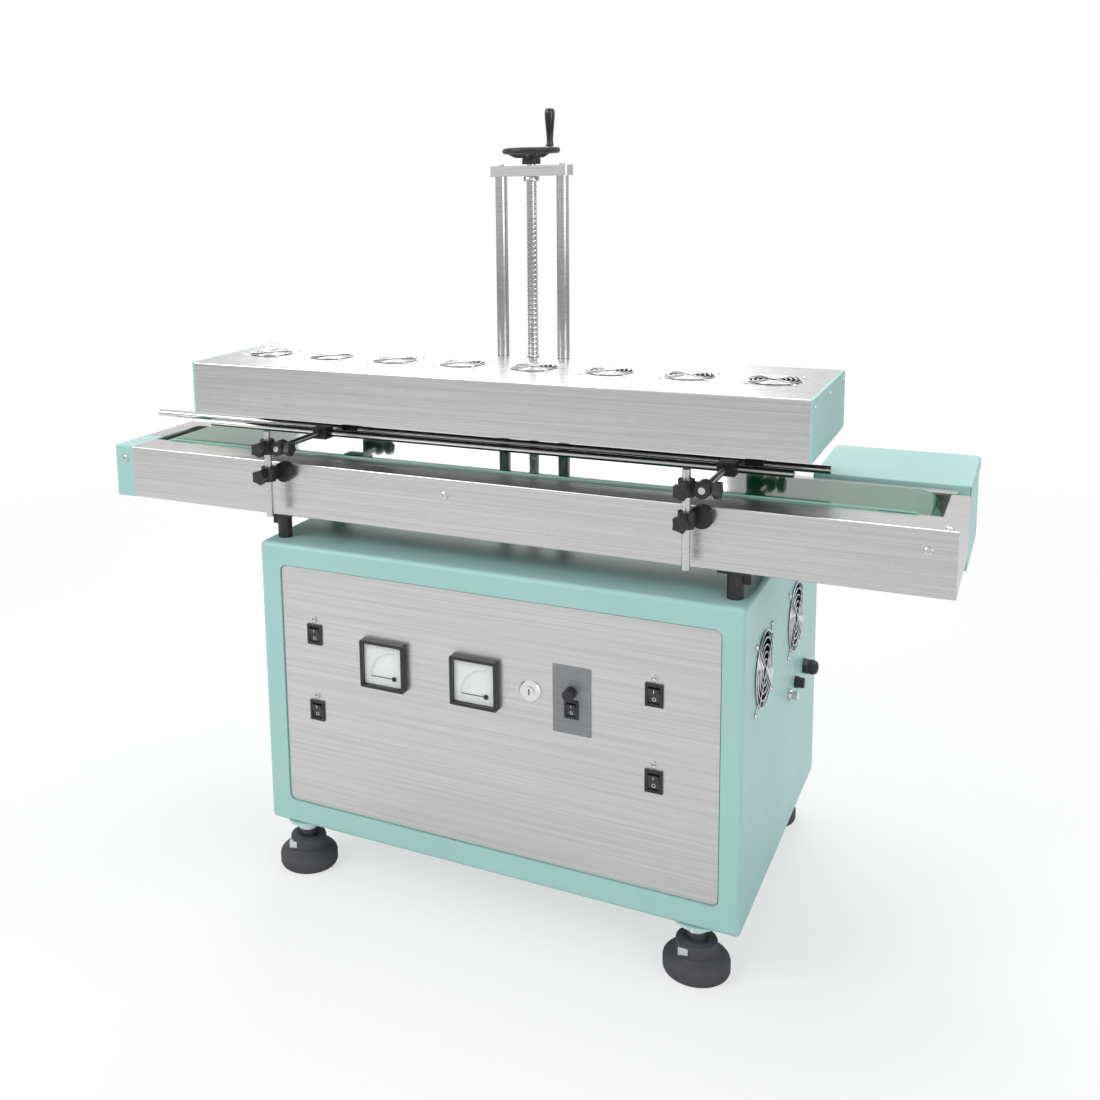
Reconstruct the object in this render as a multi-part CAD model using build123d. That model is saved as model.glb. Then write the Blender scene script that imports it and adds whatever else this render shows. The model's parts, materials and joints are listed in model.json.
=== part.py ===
"""Continuous induction sealing machine: a belt conveyor under a fan-cooled sealing head, on a cabinet.

Millimetres. X runs along the belt from infeed (left) to outfeed (right), Y points to the back, Z up.
The origin is on the floor, in the middle of the machine's overall footprint.
Every piece is one solid, or a group of like solids, written to its own STEP file.
"""

import os
from math import cos, pi, radians, sin

from build123d import *

# Clearances
running = 0.05
moving = 0.5
belt_gap = 0.3

# Cabinet
cabinet_width = 810.0
cabinet_depth = 570.0
cabinet_height = 500.0
floor_gap = 86.0
wall = 2.0
corner = 8.0
panel_margin_left = 41.0
panel_margin_right = 33.0
panel_margin_top = 38.0
panel_margin_bottom = 43.0
panel_corner = 10.0
panel_gap = 2.0
panel_sheet = 2.0
panel_recess = 3.0
panel_flange = 12.0
cover_sheet = 2.0
cover_margin = 25.0
vent_length = 90.0
vent_width = 6.0
vent_pitch = 18.0
vent_rows = 6

# Levelling feet
foot_radius = 50.0
foot_rim = 24.0
foot_dome = 6.0
foot_collar_radius = 31.0
foot_collar_top = 52.0
stem_radius = 17.0
foot_flange_radius = 34.0
foot_flange_thickness = 5.0
foot_sides = 24
foot_inset_left = 53.0
foot_inset_right = 70.0
foot_inset_front = 32.0
foot_inset_back = 45.0

# Conveyor frame
conveyor_length = 1392.0
conveyor_width = 224.0
rail_height = 92.0
rail_sheet = 3.0
rail_bend = 2.5
conveyor_setback = 21.0
conveyor_lift = 43.0
front_flange = 66.0
rear_flange = 30.0
bottom_flange = 40.0
end_tie_left = 38.0
end_tie_right = 24.0
end_cap_depth = 88.0
rear_rail_short = 17.0
rear_tie_short = 34.0
mount_inset_left = 26.0
mount_inset_right = 24.0
mount_plate_length = 44.0
mount_plate_depth = 34.0
mount_plate_thickness = 4.0
buffer_radius = 12.0

# Belt, rollers and bed
roller_radius = 30.0
shaft_radius = 7.5
bearing_size = 40.0
bearing_depth = 24.0
belt_thickness = 3.0
belt_side_gap = 2.0
belt_end_gap = 8.0
roller_end_gap = 1.0
bed_sheet = 3.0
bed_beam_height = 24.0
bed_beam_width = 30.0
bed_beams = 3

# Motor box and gear motor
box_length = 217.0
box_depth = 205.0
box_bottom_drop = 29.0
box_height = 127.0
box_wall = 2.0
lid_lip = 16.0
gearbox_length = 70.0
gearbox_depth = 62.0
gearbox_height = 66.0
motor_radius = 29.0
motor_length = 96.0

# Sealing head
head_length = 1026.0
head_depth = 258.0
head_height = 87.0
head_passage = 73.0
head_sheet = 2.0
end_plate = 4.0
base_plate = 6.0
coil_length = 860.0
coil_width = 110.0
coil_section = 16.0
carriage_width = 160.0
carriage_depth = 36.0
carriage_height = 60.0
head_travel = 250.0

# Cooling fans
top_fans = 8
top_fan_pitch = 124.5
top_fan_size = 80.0
top_fan_thickness = 25.0
side_fan_size = 120.0
side_fan_thickness = 25.0
side_fan_front = 125.0
side_fan_pitch = 238.0
side_fan_height = 366.0
fan_hole_margin = 2.0
fan_blades = 5
guard_pitch = 12.0
guard_sides = 12
fan_hole_sides = 16
fan_pitch = 32.0
guard_wire = 1.6

# Lift columns, screw and handwheel
column_spacing = 108.0
column_radius = 10.0
column_offset = 17.0
column_back = 20.0
column_base_radius = 25.0
column_base_height = 14.0
column_spigot_radius = 7.0
top_plate_bottom = 1180.0
top_plate_length = 134.0
top_plate_depth = 32.0
top_plate_thickness = 17.0
screw_radius = 9.0
screw_collar_radius = 13.0
screw_collar_height = 8.0
screw_journal_radius = 7.0
wheel_radius = 47.0
wheel_rim = 5.0
wheel_hub_radius = 15.0
wheel_hub_height = 20.0
wheel_lift = 24.0
wheel_spokes = 3
grip_radius = 8.5
grip_height = 62.0
grip_pin_radius = 3.0
grip_angle = 65.0

# Guide rails and their clamps
guide_height = 34.0
guide_radius = 6.0
guide_gap = 42.0
front_guide_start = 560.0
front_guide_end = 470.0
rear_guide_end = 514.0
guide_overhang = 18.0
post_left = 345.0
post_right = 352.0
rear_post_shift = 30.0
post_radius = 6.0
post_length = 144.0
post_standoff = 29.0
post_foot = 6.0
post_base_radius = 17.0
post_base_offset = 16.0
post_base_thickness = 12.0
post_clamp_height = 78.0
clamp_radius = 12.0
clamp_height = 24.0
arm_offset = 24.0
arm_radius = 5.0
arm_rise = 2.0
rail_clamp_length = 26.0
rail_clamp_wall = 3.0
rail_clamp_reach = 16.0
side_knob_neck = 4.0
side_knob_height = 10.0
knob_radius = 13.0
knob_height = 13.0
knob_neck = 8.0
knob_bite = 2.0
knob_lobes = 5

# Controls on the front panel
switch_width = 27.0
switch_height = 35.0
switch_depth = 28.0
switch_bezel = 3.0
switch_inset_left = 102.0
switch_inset_right = 128.5
switch_low = 216.0
switch_high = 350.0
small_switch = 0.82
rocker_width = 17.0
rocker_height = 25.0
rocker_swing = 10.0
rocker_pivot_depth = 2.0
rocker_pin_radius = 1.5
rocker_pin_length = 0.9
rocker_face_angle = 23.6
rocker_back_angle = -15.0
rocker_pocket = 14.0
meter_size = 80.0
meter_proud = 12.0
meter_height = 319.5
meter_left = 171.0
meter_right = 9.0
meter_dial = 66.0
meter_frame = 5.0
meter_window_depth = 8.0
meter_body_depth = 40.0
needle_inset = 20.0
needle_length = 42.0
needle_hub_radius = 4.0
needle_pin_radius = 1.5
needle_thickness = 2.0
key_offset = 83.0
key_height = 321.0
key_radius = 17.5
key_core_radius = 8.0
key_proud = 4.0
key_body_depth = 26.0
key_slot_width = 2.4
controller_offset = 150.0
controller_width = 60.0
controller_height = 107.0
controller_level = 318.0
controller_sheet = 2.0
speed_knob_radius = 9.0
speed_knob_height = 16.0
speed_pin_radius = 3.0
speed_knob_rise = 14.0
controller_rocker_drop = 13.5

# Fittings on the cabinet's side
fitting_level = 246.0
gland_back = 452.0
gland_radius = 14.0
gland_bore = 5.0
small_fitting_radius = 10.0
small_fitting_backs = (322.0, 378.0)

# Levels
cabinet_top = floor_gap + cabinet_height
rail_bottom = cabinet_top + conveyor_lift
rail_top = rail_bottom + rail_height
belt_top = rail_top + belt_gap + belt_thickness
roller_z = rail_top - roller_radius
head_bottom = rail_top + head_passage
head_top = head_bottom + head_height
guide_z = rail_top + guide_height - 4.0

# Places along X
conveyor_x = guide_overhang / 2
conveyor_left = conveyor_x - conveyor_length / 2
conveyor_right = conveyor_x + conveyor_length / 2
cabinet_x = conveyor_x + 29.0
cabinet_left = cabinet_x - cabinet_width / 2
cabinet_right = cabinet_x + cabinet_width / 2
head_x = conveyor_x
column_x = conveyor_x + column_offset
tail_x = conveyor_left + end_tie_left + belt_end_gap + roller_radius + belt_gap + belt_thickness
drive_x = conveyor_right - end_tie_right - belt_end_gap - roller_radius - belt_gap - belt_thickness

# Places along Y, with the footprint's middle at zero
knob_reach = post_standoff + clamp_radius - knob_bite + knob_neck + knob_height
back_reach = max(cabinet_depth + cover_sheet, cabinet_depth - foot_inset_back + foot_radius)
footprint_depth = back_reach + knob_reach - conveyor_setback
cabinet_front = knob_reach - conveyor_setback - footprint_depth / 2
cabinet_back = cabinet_front + cabinet_depth
conveyor_front = cabinet_front + conveyor_setback
conveyor_back = conveyor_front + conveyor_width
belt_front = conveyor_front + front_flange
belt_back = conveyor_back - rear_flange
belt_y = (belt_front + belt_back) / 2
head_front = conveyor_front
head_back = head_front + head_depth
head_y = (head_front + head_back) / 2
column_y = head_back - column_back
panel_y = cabinet_front + panel_recess
box_front = conveyor_back
box_back = box_front + box_depth
box_bottom = rail_bottom - box_bottom_drop
box_top = box_bottom + box_height


def box(x0, x1, y0, y1, z0, z1):
    """A block between two corners."""
    size = (abs(x1 - x0), abs(y1 - y0), abs(z1 - z0))
    return Pos((x0 + x1) / 2, (y0 + y1) / 2, (z0 + z1) / 2) * Box(*size)


def rod_x(x0, x1, y, z, radius):
    """A round bar along X."""
    return Pos((x0 + x1) / 2, y, z) * Rot(0, 90, 0) * Cylinder(radius, x1 - x0)


def rod_y(x, y0, y1, z, radius):
    """A round bar along Y."""
    return Pos(x, (y0 + y1) / 2, z) * Rot(90, 0, 0) * Cylinder(radius, y1 - y0)


def rod_z(x, y, z0, z1, radius):
    """A round bar along Z."""
    return Pos(x, y, (z0 + z1) / 2) * Cylinder(radius, z1 - z0)


def prism(sides, radius, height):
    """An upright prism with a regular outline, centred on the origin."""
    return extrude(RegularPolygon(radius, sides), height / 2, both=True)


def rounded_block(x0, x1, y0, y1, z0, z1, radius, axis=Axis.Y):
    """A block whose four edges along one axis are rounded."""
    block = box(x0, x1, y0, y1, z0, z1)
    return fillet(block.edges().filter_by(axis), radius)


def one(shape):
    """The only solid of a shape."""
    solids = shape.solids()
    assert len(solids) == 1, f"expected one solid, got {len(solids)}"
    return solids[0]


def group(shapes):
    """Like pieces kept as separate solids in one node."""
    return Compound(children=[one(shape) for shape in shapes])


def cabinet_parts():
    """The folded sheet cabinet, its inset front panel and its rear cover."""
    outer = box(cabinet_left, cabinet_right, cabinet_front, cabinet_back, floor_gap, cabinet_top)
    outer = fillet(outer.edges(), corner)
    inner = box(
        cabinet_left + wall, cabinet_right - wall, cabinet_front + wall, cabinet_back - wall,
        floor_gap + wall, cabinet_top - wall,
    )
    inner = chamfer(inner.edges(), corner - wall)
    left = cabinet_left + panel_margin_left
    right = cabinet_right - panel_margin_right
    low = floor_gap + panel_margin_bottom
    high = cabinet_top - panel_margin_top
    grow = panel_gap
    depth = panel_recess + panel_sheet
    frame_back = cabinet_front + depth + wall
    frame = box(
        left - grow - wall, right + grow + wall, cabinet_front + corner / 4, frame_back,
        low - grow - wall, high + grow + wall,
    )
    opening = rounded_block(
        left - grow, right + grow, cabinet_front - 1, cabinet_front + depth,
        low - grow, high + grow, panel_corner + grow,
    )
    window = rounded_block(
        left + panel_flange, right - panel_flange, cabinet_front - 1, frame_back + 1,
        low + panel_flange, high - panel_flange, panel_corner,
    )
    body = outer - inner + frame - opening - window
    hatch = box(
        cabinet_left + cover_margin + panel_flange, cabinet_right - cover_margin - panel_flange,
        cabinet_back - wall - 1, cabinet_back + 1,
        floor_gap + cover_margin + panel_flange, cabinet_top - cover_margin - panel_flange,
    )
    body -= hatch
    for centre in side_fan_centres():
        vent = prism(fan_hole_sides, side_fan_size / 2 - fan_hole_margin, 3 * wall)
        body -= facing_right(centre) * vent
    for back, radius in fitting_places():
        body -= rod_x(
            cabinet_right - 2 * wall, cabinet_right + 1, cabinet_front + back,
            floor_gap + fitting_level, radius * 0.7,
        )
    panel = rounded_block(left, right, panel_y, panel_y + panel_sheet, low, high, panel_corner)
    back = panel_y + panel_sheet
    for x, z in switch_places():
        panel -= box(
            x - switch_width / 2 + switch_bezel, x + switch_width / 2 - switch_bezel,
            panel_y - 1, back + 1,
            z - switch_height / 2 + switch_bezel, z + switch_height / 2 - switch_bezel,
        )
    for x in (cabinet_x - meter_left, cabinet_x - meter_right):
        panel -= rod_y(x, panel_y - 1, back + 1, floor_gap + meter_height, meter_dial / 2)
    panel -= rod_y(
        cabinet_x + key_offset, panel_y - 1, back + 1, floor_gap + key_height, 1.5 * key_core_radius
    )
    controller_x = cabinet_x + controller_offset
    controller_z = floor_gap + controller_level
    panel -= box(
        controller_x - controller_width / 2 + 8, controller_x + controller_width / 2 - 8,
        panel_y - 1, back + 1,
        controller_z - controller_height / 2 + 20, controller_z + controller_height / 2 - 20,
    )
    cover = rounded_block(
        cabinet_left + cover_margin, cabinet_right - cover_margin,
        cabinet_back, cabinet_back + cover_sheet,
        floor_gap + cover_margin, cabinet_top - cover_margin, panel_corner,
    )
    vent_z = cabinet_top - 2 * cover_margin - panel_flange - vent_rows * vent_pitch
    for side in (-1, 1):
        for row in range(vent_rows):
            x = cabinet_x + side * cabinet_width / 4
            z = vent_z + row * vent_pitch
            cover -= box(
                x - vent_length / 2, x + vent_length / 2,
                cabinet_back - 1, cabinet_back + cover_sheet + 1, z, z + vent_width,
            )
    return {"cabinet_body": one(body), "front_panel": one(panel), "rear_cover": one(cover)}


def foot_pad():
    """A levelling foot's pad with its collar, standing on the origin."""
    low, high = foot_rim, foot_rim + foot_dome
    outlines = [
        Pos(0, 0, low) * RegularPolygon(foot_radius, foot_sides),
        Pos(0, 0, high) * RegularPolygon(foot_collar_radius, foot_sides),
    ]
    pad = Pos(0, 0, low / 2) * prism(foot_sides, foot_radius, low) + loft(outlines)
    middle = (low + foot_collar_top) / 2
    return pad + Pos(0, 0, middle) * prism(foot_sides, foot_collar_radius, foot_collar_top - low)


def revolved(profile, x, y, z=0.0):
    """A turned piece from (radius, height) points, standing at a place."""
    face = Plane.XZ * make_face(Polyline(*profile, close=True))
    return Pos(x, y, z) * revolve(face, Axis.Z)


def foot_places():
    """Centres of the four levelling feet."""
    xs = (cabinet_left + foot_inset_left, cabinet_right - foot_inset_right)
    ys = (cabinet_front + foot_inset_front, cabinet_back - foot_inset_back)
    return [(x, y) for x in xs for y in ys]


def levelling_feet():
    """Four feet, each a black pad with its collar and a bright stem with its flange."""
    feet = []
    for x, y in foot_places():
        feet.append(Pos(x, y, 0) * foot_pad())
        stem_height = floor_gap - foot_collar_top
        stem = Pos(x, y, floor_gap - stem_height / 2) * prism(16, stem_radius, stem_height)
        flange = prism(16, foot_flange_radius, foot_flange_thickness)
        stem += Pos(x, y, floor_gap - foot_flange_thickness / 2) * flange
        feet.append(stem)
    return {"levelling_feet": group(feet)}


def folded_rail(x0, x1, web_front, web_back, flange_front, flange_back, foot_front, foot_back):
    """A side rail: a web with a top flange and a bottom flange folded from one sheet."""
    rail = box(x0, x1, web_front, web_back, rail_bottom, rail_top)
    rail += box(x0, x1, flange_front, flange_back, rail_top - rail_sheet, rail_top)
    rail += box(x0, x1, foot_front, foot_back, rail_bottom, rail_bottom + rail_sheet)
    face = flange_front if flange_front == web_front else flange_back
    bends = [e for e in rail.edges().filter_by(Axis.X) if abs(e.center().Y - face) < 0.01]
    return fillet(bends, rail_bend)


def conveyor_frame():
    """Two folded side rails and the two ties that close their ends."""
    t = rail_sheet
    seam = conveyor_left + end_tie_left
    front = folded_rail(
        seam, conveyor_right, conveyor_front, conveyor_front + t,
        conveyor_front, belt_front, conveyor_front, conveyor_front + bottom_flange,
    )
    rear = folded_rail(
        conveyor_left + end_tie_left, conveyor_right - rear_rail_short,
        conveyor_back - t, conveyor_back, belt_back, conveyor_back,
        conveyor_back - bottom_flange, conveyor_back,
    )
    for x in (tail_x, drive_x):
        half = bearing_size / 2
        web = conveyor_front + t
        front += box(x - half, x + half, web, web + bearing_depth, roller_z - half, roller_z + half)
        front -= rod_y(x, web, web + bearing_depth + 1, roller_z, shaft_radius + running)
        rear -= rod_y(x, conveyor_back - t - 1, conveyor_back + 1, roller_z, shaft_radius + running)
    left_tie = box(
        conveyor_left, seam, conveyor_front + end_cap_depth, conveyor_back,
        rail_top - t, rail_top,
    )
    left_tie += box(
        conveyor_left, conveyor_left + t, conveyor_front + end_cap_depth, conveyor_back,
        rail_bottom, rail_top,
    )
    left_tie += box(conveyor_left, seam, conveyor_back - t, conveyor_back, rail_bottom, rail_top)
    tie_back = conveyor_back - rear_tie_short
    right_tie = box(
        conveyor_right - end_tie_right, conveyor_right, belt_front, tie_back, rail_top - t, rail_top
    )
    right_tie += box(
        conveyor_right - t, conveyor_right, conveyor_front + t, tie_back,
        rail_bottom + t, rail_top - t,
    )
    right_tie -= box(
        conveyor_right - end_tie_right - 1, conveyor_right + 1, conveyor_front, belt_front,
        rail_top - t, rail_top + 1,
    )
    return {"conveyor_frame": group([front, rear, left_tie, right_tie])}


def conveyor_end_cap():
    """The painted cap over the infeed end of the front rail."""
    t = rail_sheet
    seam = conveyor_left + end_tie_left
    back = conveyor_front + end_cap_depth
    cap = box(conveyor_left, seam, conveyor_front, conveyor_front + t, rail_bottom, rail_top)
    cap += box(conveyor_left, seam, conveyor_front, back, rail_top - t, rail_top)
    cap += box(conveyor_left, conveyor_left + t, conveyor_front, back, rail_bottom, rail_top)
    bends = cap.edges().filter_by(Axis.X).group_by(Axis.Y)[0].group_by(Axis.Z)[-1]
    cap = fillet(bends, rail_bend)
    return {"conveyor_end_cap": one(cap)}


def belt_loop(offset, thickness, y0, y1):
    """A loop round both rollers, as wide as y0 to y1."""
    def slot(radius):
        middle = box(tail_x, drive_x, y0, y1, roller_z - radius, roller_z + radius)
        return middle + rod_y(tail_x, y0, y1, roller_z, radius) + rod_y(drive_x, y0, y1, roller_z, radius)
    inner = roller_radius + offset
    return slot(inner + thickness) - slot(inner)


def conveyor_parts():
    """Belt, rollers and the bed that carries the belt between them."""
    belt = belt_loop(belt_gap, belt_thickness, belt_front + belt_side_gap, belt_back - belt_side_gap)
    gap = roller_end_gap
    rollers = {}
    for name, x in (("tail_roller", tail_x), ("drive_roller", drive_x)):
        roller = rod_y(x, belt_front + gap, belt_back - gap, roller_z, roller_radius)
        front = conveyor_front + rail_sheet + moving
        back = conveyor_back
        if name == "drive_roller":
            back = box_front + box_wall + gearbox_depth
        roller += rod_y(x, front, back, roller_z, shaft_radius)
        rollers[name] = one(roller)
    bed_top = rail_top + belt_gap
    bed_end = roller_radius + 12
    bed = box(
        tail_x + bed_end, drive_x - bed_end, belt_front + moving, belt_back - moving,
        bed_top - bed_sheet, bed_top,
    )
    for i in range(bed_beams):
        x = tail_x + (i + 0.5) * (drive_x - tail_x) / bed_beams
        bed += box(
            x - bed_beam_width / 2, x + bed_beam_width / 2,
            conveyor_front + rail_sheet, conveyor_back - rail_sheet,
            rail_top - rail_sheet - bed_beam_height, rail_top - rail_sheet,
        )
        bed += box(
            x - bed_beam_width / 2, x + bed_beam_width / 2, belt_front + moving, belt_back - moving,
            rail_top - rail_sheet - 1, bed_top - 1,
        )
    return {"conveyor_belt": one(belt), "slider_bed": one(bed), **rollers}


def conveyor_mounts():
    """Four rubber buffers with their plates, between the cabinet's top and the rails."""
    mounts = []
    rail_y = mount_plate_depth / 2 + rail_sheet
    places = ((-1, cabinet_left + mount_inset_left), (1, cabinet_right - mount_inset_right))
    for side, x in places:
        for y in (conveyor_front + rail_y, conveyor_back - rail_y):
            plate = box(
                x - mount_plate_length / 2, x + mount_plate_length / 2,
                y - mount_plate_depth / 2, y + mount_plate_depth / 2,
                rail_bottom - mount_plate_thickness, rail_bottom,
            )
            buffer_height = conveyor_lift - mount_plate_thickness
            buffer = Pos(x, y, cabinet_top + buffer_height / 2) * prism(12, buffer_radius, buffer_height)
            web = box(
                x, x + side * mount_plate_length / 2, y - 2, y + 2,
                rail_bottom - conveyor_lift / 2, rail_bottom - mount_plate_thickness,
            )
            mounts.append(plate + buffer + web)
    return {"conveyor_mounts": group(mounts)}


def motor_box_parts():
    """The motor box behind the outfeed end, its lift-off lid and the gear motor inside."""
    w = box_wall
    right = conveyor_right - w
    left = right - box_length + w
    lid_bottom = box_top - lid_lip
    body = box(left, right, box_front, box_back - w, box_bottom, box_top - w - running)
    body = fillet(body.edges().filter_by(Axis.Z).group_by(Axis.Y)[-1], corner)
    hollow = box(left + w, right - w, box_front + w, box_back - 2 * w, box_bottom + w, box_top)
    hollow = fillet(hollow.edges().filter_by(Axis.Z).group_by(Axis.Y)[-1], corner - w)
    body -= hollow
    body -= rod_y(drive_x, box_front - 1, box_front + w + 1, roller_z, shaft_radius + moving)
    lid = box(left - w, right + w, box_front + moving, box_back, lid_bottom, box_top)
    lid = fillet(lid.edges().filter_by(Axis.Z).group_by(Axis.Y)[-1], corner + w)
    lid = fillet(lid.edges().group_by(Axis.Z)[-1], w)
    pocket = box(
        left - moving, right + moving, box_front - 1, box_back - w + moving,
        lid_bottom - 1, box_top - w,
    )
    pocket = fillet(pocket.edges().filter_by(Axis.Z).group_by(Axis.Y)[-1], corner + moving)
    lid -= pocket
    gear_front = box_front + w
    gear = rounded_block(
        drive_x - gearbox_length / 2, drive_x + gearbox_length / 2,
        gear_front, gear_front + gearbox_depth,
        roller_z - gearbox_height / 2, roller_z + gearbox_height / 2, 8,
    )
    motor_end = drive_x - gearbox_length / 2
    gear += rod_x(
        motor_end - motor_length, motor_end, gear_front + gearbox_depth / 2, roller_z, motor_radius
    )
    gear -= rod_y(drive_x, gear_front - 1, gear_front + gearbox_depth + 1, roller_z,
                  shaft_radius + running)
    return {"motor_box": one(body), "motor_box_lid": one(lid), "gear_motor": one(gear)}


def top_fan_centres():
    """Middle of each fan on the head's top face."""
    start = head_x - (top_fans - 1) * top_fan_pitch / 2
    return [Vector(start + i * top_fan_pitch, head_y, head_top) for i in range(top_fans)]


def side_fan_centres():
    """Middle of each fan on the cabinet's right wall."""
    z = floor_gap + side_fan_height
    y = cabinet_front + side_fan_front
    return [Vector(cabinet_right, y + i * side_fan_pitch, z) for i in range(2)]


def fan_frame(size, thickness):
    """A square fan frame below the origin, with a hub held by four struts and a bearing pin."""
    frame = Pos(0, 0, -thickness / 2) * Box(size, size, thickness)
    frame = chamfer(frame.edges().filter_by(Axis.Z), size * 0.05)
    frame -= Pos(0, 0, -thickness / 2) * prism(fan_hole_sides, size / 2 - fan_hole_margin, thickness + 2)
    plate = thickness * 0.15
    hub = Pos(0, 0, plate / 2 - thickness) * prism(8, size * 0.2, plate)
    strut = Pos(0, 0, plate / 2 - thickness) * Box(size - fan_hole_margin, size * 0.05, plate)
    pin = Pos(0, 0, -thickness * 0.55) * prism(12, size * 0.025, thickness * 0.9 - 2)
    return frame + hub + Rot(0, 0, 45) * strut + Rot(0, 0, -45) * strut + pin


def fan_rotor(size, thickness):
    """A hub with pitched blades that turns on the frame's pin."""
    plate = thickness * 0.15
    hub_height = thickness - plate - 2 * moving - 2
    level = -2 - moving - hub_height / 2
    rotor = prism(15, size * 0.19, hub_height)
    tip = (size / 2 - fan_hole_margin) * cos(pi / fan_hole_sides) - 2
    root = size * 0.17
    chord = hub_height * 0.95
    reach = (tip ** 2 - (chord * sin(radians(fan_pitch)) / 2 + 1.6) ** 2) ** 0.5
    blade = Pos((reach + root) / 2, 0, 0) * Rot(fan_pitch, 0, 0) * Box(reach - root, 1.6, chord)
    for i in range(fan_blades):
        rotor += Rot(0, 0, i * 360 / fan_blades) * blade
    rotor -= Cylinder(size * 0.025 + running, hub_height + 2)
    return Pos(0, 0, level) * rotor


def fan_guard(size):
    """Rings joined by two crossed bars with four fixing eyes, on the origin."""
    t = guard_wire
    half = size / 2 - 4
    bar = Pos(0, 0, t / 2) * Box(2 * half * 2 ** 0.5, t, t)
    guard = Rot(0, 0, 45) * bar + Rot(0, 0, -45) * bar
    outer = size / 2 - fan_hole_margin
    rings = round(outer / guard_pitch)
    for i in range(rings):
        radius = outer * (1 - i / rings)
        ring = prism(guard_sides, radius, t) - prism(guard_sides, radius - t, t)
        guard += Pos(0, 0, t / 2) * Rot(0, 0, 180 / guard_sides) * ring
    for x in (-half, half):
        for y in (-half, half):
            guard += Pos(x, y, t / 2) * Box(size * 0.07, size * 0.07, t)
    return guard


def facing_right(centre):
    """Location of a side fan, whose open face looks along +X."""
    return Pos(*centre) * Rot(0, 90, 0)


def fans():
    """Frames, guards and rotors of the head's fans and of the cabinet's fans."""
    nodes = {}
    top_frame = fan_frame(top_fan_size, top_fan_thickness)
    top_rotor = fan_rotor(top_fan_size, top_fan_thickness)
    top_guard = fan_guard(top_fan_size)
    under = -head_sheet
    tops = top_fan_centres()
    nodes["top_fan_frames"] = group([Pos(c.X, c.Y, c.Z + under) * top_frame for c in tops])
    nodes["top_fan_guards"] = group([Pos(*c) * top_guard for c in tops])
    for i, c in enumerate(tops):
        nodes[f"top_fan_rotor_{i + 1}"] = one(Pos(c.X, c.Y, c.Z + under) * top_rotor)
    side_frame = fan_frame(side_fan_size, side_fan_thickness)
    side_rotor = fan_rotor(side_fan_size, side_fan_thickness)
    side_guard = fan_guard(side_fan_size)
    sides = side_fan_centres()
    inward = Pos(-wall, 0, 0)
    nodes["side_fan_frames"] = group([inward * facing_right(c) * side_frame for c in sides])
    nodes["side_fan_guards"] = group([facing_right(c) * side_guard for c in sides])
    for i, c in enumerate(sides):
        nodes[f"side_fan_rotor_{i + 1}"] = one(inward * facing_right(c) * side_rotor)
    return nodes


def column_places():
    """X of the two guide columns."""
    return (column_x - column_spacing / 2, column_x + column_spacing / 2)


def head_parts():
    """The lifting head: wrapped cover, end plates, base plate, coil and carriage."""
    left = head_x - head_length / 2
    right = head_x + head_length / 2
    s = head_sheet
    cover = box(left + end_plate, right - end_plate, head_front, head_back, head_bottom, head_top)
    cover = fillet(cover.edges().filter_by(Axis.X).group_by(Axis.Z)[-1], 3)
    hollow = box(left, right, head_front + s, head_back - s, head_bottom - 1, head_top - s)
    cover -= hollow
    for c in top_fan_centres():
        cover -= Pos(*c) * prism(fan_hole_sides, top_fan_size / 2 - fan_hole_margin, 3 * s)
    base = box(
        left + end_plate, right - end_plate, head_front + s, head_back - s,
        head_bottom, head_bottom + base_plate,
    )
    shafts = [(x, column_radius + 2) for x in column_places()] + [(column_x, screw_radius + 3)]
    for x, radius in shafts:
        cover -= rod_z(x, column_y, head_top - 2 * s, head_top + 1, radius)
        base -= rod_z(x, column_y, head_bottom - 1, head_bottom + base_plate + 1, radius)
    carriage_bottom = head_bottom + base_plate
    carriage = box(
        column_x - carriage_width / 2, column_x + carriage_width / 2,
        column_y - carriage_depth / 2, column_y + carriage_depth / 2,
        carriage_bottom, carriage_bottom + carriage_height,
    )
    bores = [(x, column_radius) for x in column_places()] + [(column_x, screw_radius)]
    for x, radius in bores:
        carriage -= rod_z(
            x, column_y, carriage_bottom - 1, carriage_bottom + carriage_height + 1,
            radius + running,
        )
    ends = [
        box(left, left + end_plate, head_front, head_back, head_bottom, head_top),
        box(right - end_plate, right, head_front, head_back, head_bottom, head_top),
    ]
    ends = [fillet(end.edges().filter_by(Axis.X).group_by(Axis.Z)[-1], 3) for end in ends]
    level = carriage_bottom + coil_section / 2
    outer = extrude(SlotOverall(coil_length, coil_width), coil_section / 2, both=True)
    inner = extrude(
        SlotOverall(coil_length - 2 * coil_section, coil_width - 2 * coil_section),
        coil_section, both=True,
    )
    coil = Pos(head_x, head_y - 20, level) * (outer - inner)
    return {
        "head_cover": one(cover), "head_base_plate": one(base), "head_carriage": one(carriage),
        "head_end_plates": group(ends), "induction_coil": one(coil),
    }


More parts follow.
